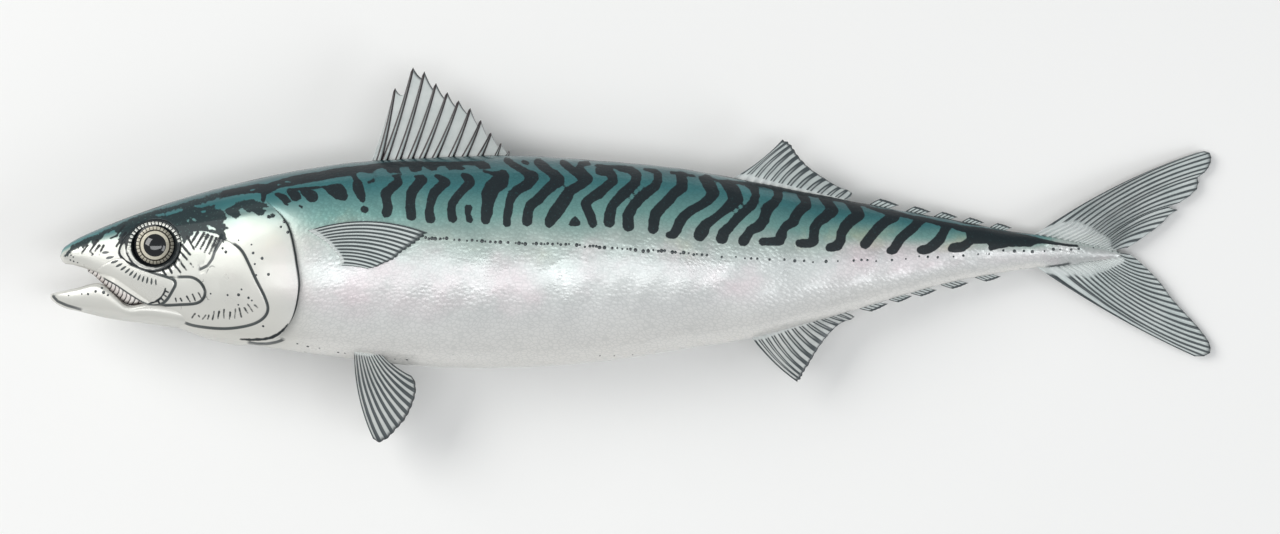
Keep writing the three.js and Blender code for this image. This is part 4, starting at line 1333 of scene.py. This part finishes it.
# The eyes, with their lids and the row of light beads on each upper lid.
lid = {
    "path": [
        (20.9, 1.2), (21.6, 3.4), (23.3, 6), (26, 8.6), (29, 10), (32, 10.5), (35.3, 10.1), (37.9, 8.4),
        (39.4, 5.9), (39.4, 2.9), (38.6, 0), (36.9, -2.4), (34.4, -4.1), (31.6, -4.9), (28.6, -4.6),
        (25.6, -3.4), (22.9, -1.9), (21.2, -0.3),
    ],
    "centre": (31.7, 2.65),
    "opening": (6.85, 6.15),
    "rise": 0.38,
    # rings across the lid: share of its width, extra offset, height
    "rings": [
        (0, -0.8, -3.2), (0, -0.25, -1.9), (0, 0, -0.55), (0.03, 0, 0.05), (0.1, 0, 0.8), (0.2, 0, 1),
        (0.32, 0, 0.9), (0.46, 0, 0.75), (0.6, 0, 0.7), (0.74, 0, 0.8), (0.86, 0, 1), (0.94, 0, 0.95),
        (1, -0.12, 0.6), (1, 0.2, 0), (1, 0.6, -1.6),
    ],
}
beads = {"from": 12, "to": 194, "step": 9.1, "off": 0.74, "size": (0.95, 0.84, 0.62)}
ball = {
    # rings as shares of the radius: over the front, and from the widest one on round the back
    "front": [
        0.0, 0.04, 0.1, 0.2, 0.3, 0.4, 0.47, 0.52, 0.58, 0.64, 0.7, 0.76, 0.82, 0.88, 0.93, 0.97, 1.0,
    ],
    "back": [0.98, 0.9, 0.7, 0.4, 0.0],
    "lens": 0.55,  # the clear front bulges over the pupil
}


def lidOpening(angle):  # how far the lid's inner edge is from its centre
    wide, tall = lid["opening"]
    return 1 / np.hypot(np.cos(angle) / wide, np.sin(angle) / tall)


def eyeball(name, side):
    turns = np.linspace(0, 1, 97)
    outs = np.array(ball["front"] + ball["back"])
    behind = np.arange(len(outs)) >= len(ball["front"])
    radius = eye["radius"] * outs[:, None]
    dome = eye["depth"] * np.sqrt(np.clip(1 - outs[:, None] ** 2, 0, 1))
    lens = ball["lens"] * easeIn(0.62, 0.3, outs)[:, None]
    z = np.where(behind[:, None], -dome, dome + lens)
    a = turns[None] * 2 * np.pi
    x = eye["x"] + radius * np.cos(a)
    y = eye["y"] - 0.1 + radius * np.sin(a)
    z = side * (eye["z"] + z + 0 * a)
    uv = np.stack([turns[None] + 0 * radius, radius / 10 + 0 * turns[None]], -1)
    return gridPiece(name, toRow(x, y, z), None, uv)


def eyelid(name, side):
    path = bendThrough(lid["path"], 16, closed=True) - np.array(lid["centre"])
    angle, reach = np.arctan2(path[:, 1], path[:, 0]), np.hypot(path[:, 0], path[:, 1])
    order = np.argsort(angle)
    turn = np.linspace(-np.pi, np.pi, 181)
    outer = np.interp(turn, angle[order], reach[order], period=2 * np.pi)
    inner = lidOpening(turn)
    outer = np.maximum(outer, inner + 0.7)
    across, extra, heights = np.array(lid["rings"]).T
    radius = inner + (outer - inner) * across[:, None] + extra[:, None]
    x = lid["centre"][0] + radius * np.cos(turn)
    y = lid["centre"][1] + radius * np.sin(turn)
    z = side * (flankAt(x, y) + np.where(heights > 0, lid["rise"] * heights, heights)[:, None])
    lidMaps = skinMaps(x, y, z)
    # dark marks on the lid: its two rims, the inner one wider under the beads, a thin line
    # between them, and all of it high up
    low, high = math.radians(beads["from"] - 12), math.radians(beads["to"] - 14)
    upper = np.minimum(turn - low, high - turn) * 7.0
    closeToOpening = inner + 0.25 + 1.35 * easeIn(-0.6, 0.8, upper) - radius
    closeToEdge = radius - (outer - 0.45 - 0.35 * easeIn(0, 1, upper))
    corner = 0.24 - np.abs(radius - inner - 1.7)
    above = np.minimum(y - 5.5, 3.0) * np.ones_like(x)
    dark = largest([closeToOpening, closeToEdge, corner, above, lidMaps["barField"]])
    lidMaps["barField"] = np.clip(dark, -3, 3)
    blank(lidMaps, 0.0, "mouthInside")
    blank(lidMaps, -2.0, "plateField", "lipField", "creaseField")
    return gridPiece(name, toRow(x, y, z), lidMaps, np.stack([x / 100, y / 100], -1))


def beadRing(name, side):
    made = []
    for angle in np.radians(np.arange(beads["from"], beads["to"], beads["step"])):
        reach = lidOpening(angle) + beads["off"]
        cx, cy = lid["centre"] + reach * np.array([np.cos(angle), np.sin(angle)])
        cz = side * (flankAt(cx, cy) + lid["rise"] + 0.02)
        clearSelection()
        bpy.ops.mesh.primitive_cube_add(size=1, location=toRow(cx, cy, cz))
        bead = bpy.context.object
        bead.scale = [size * mm for size in beads["size"]]
        bead.rotation_euler = (0, 0, angle)
        bpy.ops.object.transform_apply(location=True, rotation=True, scale=True)
        roundOff = bead.modifiers.new("roundOff", "BEVEL")
        roundOff.width, roundOff.segments = 0.14 * mm, 2
        bpy.ops.object.modifier_apply(modifier="roundOff")
        made.append(bead)
    ring = joinAll(made, name)
    bpy.ops.object.shade_smooth_by_angle(angle=math.radians(50))
    bpy.ops.object.origin_set(type="ORIGIN_CURSOR")
    return ring


bpy.context.scene.cursor.location = (0, 0, 0)
for sideName, side, node in (("Left", 1, "eye_left"), ("Right", -1, "eye_right")):
    finishPiece(eyeball("eye" + sideName, side), eyeMaterial, [node])
    finishPiece(eyelid("eyelid" + sideName, side), skinMaterial)
    finishPiece(beadRing("eyeBeads" + sideName, side), plainMaterials["eyeBeads"])
print("eyes ready")


# The fins.
def overFan(share, value):  # one value for the whole fan, or a list from its first ray to its last
    return np.interp(share, np.linspace(0, 1, len(value)), value) if isinstance(value, list) else value


def betweenRays(points, phase):
    points = np.array(points)
    return np.stack([np.interp(phase, np.arange(len(points)), points[:, k]) for k in (0, 1)], -1)


# What a fin has unless its own lines say otherwise: points per ray, rows of points from root to
# rim, whether each ray has its own two points, the dip between two rays, how far the fin reaches
# into the body, its rays' relief and how much it waves.
fanUsual = {
    "per": 6, "rows": 26, "byRay": False, "dip": 0.03, "embed": 2.5, "ridge": 0.14, "wave": 0,
}


def fanFin(name, fin, material):
    # A fan of rays from root to rim: front face, then back face, closed round the edges.
    fin = {**fanUsual, **fin}
    rays = fin["rays"]
    count = (rays - 1) * fin["per"] + 1
    phase = np.linspace(0, rays - 1, count)
    share = phase / (rays - 1)
    if fin["byRay"]:
        root, rimLine = betweenRays(fin["root"], phase), betweenRays(fin["rim"], phase)
    else:
        root, rimLine = along(bendThrough(fin["root"]), share), along(bendThrough(fin["rim"]), share)
    outs = np.concatenate([[-1.0, -1.0], np.linspace(0, 1, fin["rows"]) ** 0.9])
    gap = np.abs((phase + 0.5) % 1 - 0.5) * 2  # 0 on a ray, 1 midway between two
    ray = rimLine - root
    dip = overFan(share, fin["dip"]) * gap**1.5
    if "joints" in fin:  # the skin meets the next spine this far below its tip, in mm
        start = np.minimum(np.floor(phase + 1e-6), rays - 2).astype(int)
        f = np.clip(phase - start, 0, 1)
        drop = np.array(fin["joints"])[start] * (1 - (1 - f) ** 1.7)
        dip = np.where(gap < 1e-6, 0, drop / np.linalg.norm(ray, axis=1))
    s = np.clip(outs, 0, 1)[:, None] * (1 - dip[None] * np.clip(outs, 0, 1)[:, None] ** 3)
    sideways = np.stack([-ray[:, 1], ray[:, 0]], -1)
    bow = overFan(share, fin["bow"])
    point = root[None] + ray[None] * s[..., None] + sideways[None] * (bow * 4 * s * (1 - s))[..., None]
    inward = ray / np.linalg.norm(ray, axis=1, keepdims=True)
    point -= inward[None] * np.where(outs < 0, fin["embed"], 0)[:, None, None]
    x, y = point[..., 0], point[..., 1]
    middle = fin["settle"](x, y, s) + fin["wave"] * s * np.sin(phase[None] * 0.9 + 2.2 * s)
    thick = fin["thick"][0] + (fin["thick"][1] - fin["thick"][0]) * s
    half = 0.5 * thick * (0.45 + 0.55 * np.exp(-((gap[None] / 0.42) ** 2)))
    half = half + fin["ridge"] * np.exp(-((gap[None] / 0.34) ** 2)) * (1 - 0.6 * s)
    half[0] = half[-1] = 0  # the root and the rim close
    front, back = middle + half, middle - half
    faces = ((x, x), (y, y), (front, back))
    xs, ys, zs = (np.concatenate([a, b[:, ::-1], a[:, :1]], 1) for a, b in faces)
    across = np.concatenate([phase, phase[::-1], phase[:1]])
    uv = np.stack([across[None] + 0 * xs, np.clip(outs, 0, 1)[:, None] + 0 * xs], -1)
    finishPiece(gridPiece(name, toRow(xs, ys, zs), None, uv), material)


def sagging(amount):  # how a fin lies: its height over the mid-plane, where s is the share outwards
    return lambda x, y, s: -amount * s * s


def alongFlank(side):
    return lambda x, y, s: side * (flankAt(x, y) + 0.25 * s)


def underBelly(side):
    return lambda x, y, s: side * (8.2 - 2.8 * s) - 1.2 * s * s


# The spines of the first back fin, from the head to the tail.
spine = {
    "bow": -0.015,
    "sag": 2.2,
    "wave": 0.25,
    "radius": 1.02,
    "thinning": 0.64,
    "lastScale": 0.7,  # the last two are slimmer
    # the pale core is a painted highlight along the middle of each spine
    "litCore": 0.46,  # half the width of the pale core
}
spineRoots = [
    (98.7, 28.3), (100.5, 28.5), (104.4, 28.5), (108, 28.6), (111.4, 28.5), (115.2, 28.6), (120.1, 29),
    (124.2, 29.1), (128.8, 29.3), (133.7, 29.4), (137, 29.4),
]
spineTips = [
    (103.5, 50.1), (108.9, 56.3), (112.3, 55.1), (115.8, 51.6), (119.2, 48.9), (122.6, 46.4),
    (126.1, 44.1), (129.3, 40.5), (132.3, 36.7), (135.3, 33.6), (137.8, 31.2),
]
# What like fins have in common, with the thickness at the root and at the rim.
softFan = {"thick": [1.1, 0.35], "settle": sagging(1.2), "wave": 0.2, "dip": 0.02}
tailFan = {
    "thick": [2.4, 0.4], "settle": sagging(0.2), "dip": [0, 0.002, 0.01, 0.01], "ridge": 0.2,
    "rows": 44, "per": 5,
}
# Each fin: its material and its fan. A list for bow or dip runs from the first ray to the last.
fins = {
    "firstBackFin": ("webFin", {
        "rays": 12, "byRay": True, "root": [(96.4, 28)] + spineRoots, "rim": [(103.1, 49.2)] + spineTips,
        "bow": spine["bow"], "thick": [0.8, 0.25], "ridge": 0.02,
        "joints": [0.3, 7.6, 2.3, 2.2, 2.1, 2.1, 2, 2, 1.9, 1.6, 1.2], "per": 10,
        "settle": sagging(spine["sag"]), "wave": spine["wave"],
    }),
    "secondBackFin": ("backFin", {
        "rays": 13, "byRay": True,
        "root": [
            (204.4, 22.9), (208, 22.3), (210.8, 21.7), (213.3, 21.2), (215.6, 20.8), (218.2, 20.3),
            (220.9, 19.8), (223.7, 19.2), (227, 18.6), (230.3, 17.9), (233.2, 17.3), (235.6, 16.9),
            (238.4, 16.4),
        ],
        "rim": [
            (219.8, 34.7), (221.4, 34), (222.5, 33), (223.4, 31.5), (224.6, 29.7), (226, 28.1),
            (227.8, 26.3), (230.1, 24.6), (232.7, 22.9), (234.9, 21.5), (237.2, 20.3), (239.4, 19.6),
            (240.8, 18.6),
        ],
        "bow": [-0.045, 0.03, 0.05, 0.05, 0.045, 0.05, 0.055, 0.06, 0.06, 0.055, 0.05, 0.03, -0.12],
        **softFan,
    }),
    "analFin": ("paleFin", {
        "rays": 14, "byRay": True,
        "root": [
            (210.4, -24.7), (212.4, -24.4), (214.4, -23.9), (216.4, -23.4), (218.5, -22.8), (220.6, -22.2),
            (222.7, -21.6), (224.8, -21), (227, -20.4), (229.1, -19.7), (231.4, -19), (233.7, -18.3),
            (235.9, -17.6), (237.8, -17),
        ],
        "rim": [
            (224.2, -38.1), (225.2, -37.3), (225.7, -36.3), (226.4, -34.9), (227.6, -33.1),
            (228.8, -31), (230.1, -28.8), (231.6, -26.5), (233.2, -24.5), (234.8, -22.7), (236.6, -21),
            (238.6, -19.9), (240.4, -19.4), (241.5, -18.6),
        ],
        "bow": [-0.042, -0.05, -0.054, -0.052, -0.05, -0.046, -0.04, -0.03, -0.02, -0.01, 0, 0, 0, 0.06],
        **softFan,
    }),
    "tailUpperLobe": ("tailFin", {
        "rays": 19, "byRay": True,
        "root": [
            (297, 6.9), (304.1, 9.3), (306.1, 8.9), (307.5, 8.5), (309.1, 8), (310.5, 7.4),
            (311.7, 6.9), (312.6, 6.4), (313.4, 6), (314.3, 5.6), (315.3, 5.1), (316.4, 4.8),
            (317.4, 4.6), (317.9, 4.1), (318, 3.4), (318.1, 2.7), (318.3, 2.1), (319.2, 1.7),
            (320.4, 1.4),
        ],
        "rim": [
            (344.6, 30.8), (347, 31.3), (348.6, 30.8), (349.1, 29.5), (348.9, 27.9), (348.2, 26.3),
            (347.1, 24.9), (345, 23.4), (345.3, 21.9), (344.8, 19.9), (342.7, 17.8), (339.4, 15.7),
            (336, 14.5), (339, 13.6), (336.4, 12), (334.7, 10), (332.2, 7.9), (327.6, 4.7),
            (323.8, 2.2),
        ],
        "bow": [0.036, 0.05, 0.054, 0.054, 0.054, 0.056, 0.062, 0.066, 0.064, 0.05],
        "embed": 9, **tailFan,
    }),
    "tailLowerLobe": ("tailFin", {
        "rays": 19, "byRay": True,
        "root": [
            (297, -4), (305, -5.1), (306.9, -5), (309, -5.1), (310.7, -5), (312.3, -4.6), (313.6, -4.3),
            (314.7, -4.1), (315.8, -4), (316.8, -4), (317.6, -3.7), (318.4, -3.4), (319.4, -3.2),
            (320.4, -2.9), (321.4, -2.5), (322.3, -2), (322.6, -1.2), (321.2, 0), (320.4, 1),
        ],
        "rim": [
            (344, -30.5), (346.9, -30.5), (348.7, -29.5), (348.9, -28), (348.4, -26.2), (347.2, -24.4),
            (345.6, -22.3), (343.3, -19.7), (340.9, -17.2), (338.8, -14.9), (336.9, -12.7),
            (335.6, -10.8), (334.3, -9), (332.9, -7.4), (331.5, -5.9), (330, -4.4), (328.4, -2.9),
            (326.6, -1.3), (324.4, 0.3),
        ],
        "bow": [-0.022, -0.056, -0.062, -0.066, -0.066, -0.062, -0.06, -0.06, -0.06, -0.05, -0.03],
        "embed": 8, **tailFan,
    }),
}
for sideName, side in (("Left", 1), ("Right", -1)):
    fins["breastFin" + sideName] = ("sideFin", {
        "rays": 14,
        "root": [
            (78.2, 7.4), (80.8, 5.8), (83.8, 3.8), (85.8, 1.7), (87.6, -0.4), (88.4, -1.9), (87.4, -3.2),
        ],
        "rim": [
            (113.6, 6.6), (111.8, 4.9), (108.9, 2.8), (105.6, 0.6), (103.6, -1.2), (100.3, -2.6),
            (97.9, -3.7), (95.5, -4.1),
        ],
        "bow": [0.088, 0.078, 0.066, 0.054, 0.03], "embed": 0.6, "thick": [1.5, 1.1], "ridge": 0.16,
        "dip": 0.02, "rows": 34, "settle": alongFlank(side),
    })
    fins["bellyFin" + sideName] = ("bellyFinSkin", {
        "rays": 12, "root": [(91.4, -29.2), (95.3, -29.9), (99.2, -29.3)],
        "rim": [
            (97, -55.1), (98.8, -56.2), (101.3, -55), (103.8, -52.4), (106.2, -49.7), (108, -46.5),
            (109.4, -42.6), (109.7, -40.2), (109.3, -37.7), (108.3, -36.3),
        ],
        "bow": -0.055, "embed": 1.5, "thick": [1.3, 0.4], "dip": 0.012, "wave": 0.15,
        "settle": underBelly(side),
    })
finlets = {
    "back": {
        "from": [246.1, 257, 265.5, 273.9, 282.3], "to": [255, 264.5, 272.6, 280.6, 289],
        "height": 2.4, "corner": 3.2, "material": "finletSkin",
    },
    "belly": {
        "from": [242.8, 251.5, 258.2, 267.5, 277.8], "to": [251.6, 258.9, 266.3, 275.9, 285.6],
        "height": 2.2, "corner": 3.9, "material": "lowFinletSkin",
    },
}


def finletPath(edge, up, start, size, points):  # points along and out from the body's edge
    path = []
    for alongIt, out in points:
        x = start + alongIt * size
        path.append((x, float(edge(x)) + up * out))
    return path


for word, edge, up in (("back", backLine, 1), ("belly", bellyLine, -1)):
    row = finlets[word]
    for i, (start, end) in enumerate(zip(row["from"], row["to"])):
        size = (end - start) / 9
        height = row["height"] * size
        rootPoints = [(-0.6, -0.3), (2.4, -0.4), (5.2, -0.4)]
        rimPoints = [(row["corner"], height), (row["corner"] + 2.5, height * 0.9), (9, 0.62 * height)]
        fins[f"{word}Finlet{i + 1}"] = (row["material"], {
            "rays": 5, "rows": 14, "root": finletPath(edge, up, start, size, rootPoints),
            "rim": finletPath(edge, up, start, size, rimPoints), "embed": 1.2, "thick": [1.0, 0.35],
            "ridge": 0.12, "settle": sagging(0.2), "bow": 0.02 * up,
        })
for name, (look, fin) in fins.items():
    fanFin(name, fin, finMaterials[look])

# the stiff spines of the first back fin stand past the skin between them
spines = []
outs = np.linspace(-0.08, 1.0, 22)
outShare = np.clip(outs, 0, 1)
turns = np.linspace(0, 2 * np.pi, 21)
for k, (start, tip) in enumerate(zip(spineRoots, spineTips)):
    start, tip = np.array(start), np.array(tip)
    ray = tip - start
    sideways = np.array([-ray[1], ray[0]])
    bow = spine["bow"] * 4 * outs * (1 - outs)
    centre = start + outs[:, None] * ray + bow[:, None] * sideways
    radius = (spine["radius"] - spine["thinning"] * outShare**0.8)[:, None]
    radius *= 1 if k < 9 else spine["lastScale"]
    radius[-1] = 0.03
    across = sideways / np.linalg.norm(ray)
    x = centre[:, :1] + radius * np.cos(turns) * across[0]
    y = centre[:, 1:] + radius * np.cos(turns) * across[1]
    settle = spine["wave"] * outShare * np.sin((k + 1) * 0.9 + 2.2 * outs) - spine["sag"] * outShare**2
    z = settle[:, None] + radius * np.sin(turns)
    ends = ((centre[0, 0], tip[0]), (centre[0, 1], tip[1]), (settle[0], settle[-1]))
    # painted light: pale down each spine's middle, painted shade down its sides
    litCore = spine["litCore"] * (1 - 0.9 * outShare)[:, None] - 0.06
    roundShade = 0.375 + 1.4 * (litCore - np.abs(np.cos(turns))[None])
    spines.append(tubePiece(f"spine{k}", (x, y, z), ends, {"roundShade": roundShade}, mapEnds=(0.0, 0.0)))
finishPiece(joinAll(spines, "backFinSpines"), plainMaterials["finSpine"])
print("fins ready")

# The dots of the lateral line and the freckles, as (x, y, radius).
dots = {
    "line": smoothLine([
        [112, 5.1], [119, 4.9], [126, 4.4], [139, 3.6], [148, 3.3], [157, 3.1], [168, 2.1], [186, 0.9],
        [198, -0.15], [225, -1.8], [246, -1.6], [258.8, -1], [275, -0.2], [285, 0.9], [300, 1.4],
        [315, 2.1],
    ]),
    "radii": ([0.30, 0.42, 0.54], [0.35, 0.35, 0.3]),  # and how often each comes
    "steps": ([0.95, 1.5, 2.3], [0.4, 0.4, 0.2]),
    "denseTo": 196,
    "freckles": [
        (48.6, -11.6, 0.3), (56.9, -14.9, 0.3), (53.7, -12, 0.35), (57, -11.9, 0.5),
        (57.9, -10.3, 0.33), (60, -12.8, 0.42), (61.9, -2.7, 0.35), (61.4, 0.6, 0.45), (60.9, 3.1, 0.3),
        (62.3, -6, 0.35), (64.1, -1, 0.5), (66, -5.8, 0.48), (57, 4.4, 0.25), (53.2, 0.9, 0.5),
        (52.2, 2, 0.4), (69.7, 8.4, 0.4), (70.8, 10, 0.6), (71.8, 6.8, 0.5), (165, -30.2, 0.3),
        (169.3, -30.2, 0.28), (174.8, -29.9, 0.28), (74.4, -26.6, 0.35), (77.5, -27.4, 0.45),
        (6.4, -0.1, 0.28), (7.1, -0.6, 0.28), (6.2, -1.5, 0.3), (7.2, -1.9, 0.3), (8.4, -2.3, 0.25),
        (81, -27.9, 0.3), (86.6, -29.2, 0.4), (88.6, -29.4, 0.3), (103.6, -31.2, 0.3),
        (107.2, -31.4, 0.42), (64.3, -21.3, 0.4), (61, -13.6, 0.3),
    ],
    "jaw": [
        (5.7, -12.1, 0.25), (9.7, -11.7, 0.25), (11.6, -11.7, 0.38), (13.9, -10.9, 0.45),
        (15.8, -9.9, 0.4), (17, -9.5, 0.35), (16.3, -11.2, 0.55), (18.2, -10.7, 0.42),
        (17.6, -12, 0.38),
    ],
}


def dome(name, place, radius, normal):  # a flat round dome that stands on the skin
    clearSelection()
    bpy.ops.mesh.primitive_uv_sphere_add(segments=8, ring_count=4, radius=1, location=(0, 0, 0))
    spot = bpy.context.object
    turn = Vector(normal).to_track_quat("Z", "Y").to_matrix().to_4x4()
    size = np.diag([radius * mm, radius * mm, (0.16 * radius + 0.03) * mm, 1])
    whole = np.array(turn) @ size
    whole[:3, 3] = place
    co = np.empty(len(spot.data.vertices) * 3)
    spot.data.vertices.foreach_get("co", co)
    co = co.reshape(-1, 3) @ whole[:3, :3].T + whole[:3, 3]
    spot.data.vertices.foreach_set("co", co.astype(np.float32).ravel())
    spot.name = name
    return spot


def dotOnSkin(name, x, y, radius, side, carriers):
    # look for the skin from above, or from below for the side that lies down
    spot = toRow(np.array(x), np.array(y), np.array(0.0))
    start = Vector((spot[0], spot[1], 0.2 if side > 0 else -0.05))
    hits = []
    for carrier in carriers:
        found, place, normal, _ = carrier.ray_cast(start, Vector((0, 0, -side)))
        if found:
            hits.append((side * place.z, place, normal))
    if not hits:
        return None
    height, place, normal = max(hits, key=lambda hit: hit[0])
    return dome(name, place, radius, normal)


for sideName, side in (("Left", 1), ("Right", -1)):
    carriers = [body, lowerJaw] + [bpy.data.objects[key + sideName] for key in plates]
    wanted = []
    x = 113.0
    while x < 314:
        dense = x < dots["denseTo"]
        radius = rng.choice(dots["radii"][0], p=dots["radii"][1]) * (1.12 if dense else 1)
        wanted.append((x, float(dots["line"](x)) + rng.normal(0, 0.14), radius))
        x += rng.choice(dots["steps"][0], p=dots["steps"][1]) if dense else rng.uniform(1.8, 5.0)
    wanted += dots["freckles"] + dots["jaw"]
    spots = [dotOnSkin("spot", dx, dy, dr, side, carriers) for dx, dy, dr in wanted]
    spots = [spot for spot in spots if spot]
    whole = joinAll(spots, "pores" + sideName)
    clearSelection()
    whole.select_set(True)
    bpy.context.view_layer.objects.active = whole
    bpy.ops.object.shade_smooth()
    finishPiece(whole, plainMaterials["darkPores"])
print("dots ready")

# The floor, the light and the camera.
studio = {
    "centre": (2.53 * mm, -3.7 * mm, 20 * mm),
    "lens": 420,
    "seenWidth": 0.384,
    "floor": (0.90, 0.90, 0.89),
    "world": (0.96, 0.98, 1.0),
    "worldStrength": 0.32,
    "aim": (0, 0, 0.02),
    # each light: its place, size, power and colour
    "lights": {
        "keyLight": ((-1.15, 0.55, 1.05), (1.1, 1.1), 16.5, (1, 0.99, 0.97)),
        "stripLight": ((0.0, -0.24, 1.3), (1.4, 0.34), 5, (0.98, 0.99, 1)),
        "fillLight": ((1.2, -0.5, 0.8), (0.9, 0.7), 6, (0.96, 0.98, 1)),
    },
}
clearSelection()
bpy.ops.mesh.primitive_plane_add(size=3.2, location=(0, 0, -0.0003))
floor = bpy.context.object
floor.name = "floor"
floorMaterial = bpy.data.materials.new("paleFloor")
floorMaterial.use_nodes = True
floorShader = floorMaterial.node_tree.nodes["Principled BSDF"]
floorShader.inputs["Base Color"].default_value = (*studio["floor"], 1)
floorShader.inputs["Roughness"].default_value = 0.85
floor.data.materials.append(floorMaterial)

world = bpy.data.worlds.new("softStudio")
bpy.context.scene.world = world
world.use_nodes = True
sky = world.node_tree.nodes["Background"]
sky.inputs[0].default_value = (*studio["world"], 1)
sky.inputs[1].default_value = studio["worldStrength"]


def softLight(name, place, size, power, colour):
    light = bpy.data.lights.new(name, "AREA")
    light.shape, light.size, light.size_y = "RECTANGLE", size[0], size[1]
    light.energy, light.color = power, colour
    lamp = bpy.data.objects.new(name, light)
    bpy.context.scene.collection.objects.link(lamp)
    lamp.location = place
    lamp.rotation_euler = (Vector(studio["aim"]) - Vector(place)).to_track_quat("-Z", "Y").to_euler()


for name, settings in studio["lights"].items():
    softLight(name, *settings)

camera = bpy.data.cameras.new("view")
camera.lens, camera.sensor_width = studio["lens"], 36
camera.clip_start, camera.clip_end = 0.05, 20
cameraObject = bpy.data.objects.new("view", camera)
bpy.context.scene.collection.objects.link(cameraObject)
away = studio["seenWidth"] * studio["lens"] / 36
cameraObject.location = Vector(studio["centre"]) + Vector((0, 0, away))
bpy.context.scene.camera = cameraObject
bpy.context.scene.view_settings.view_transform = "Standard"

print("scene done")
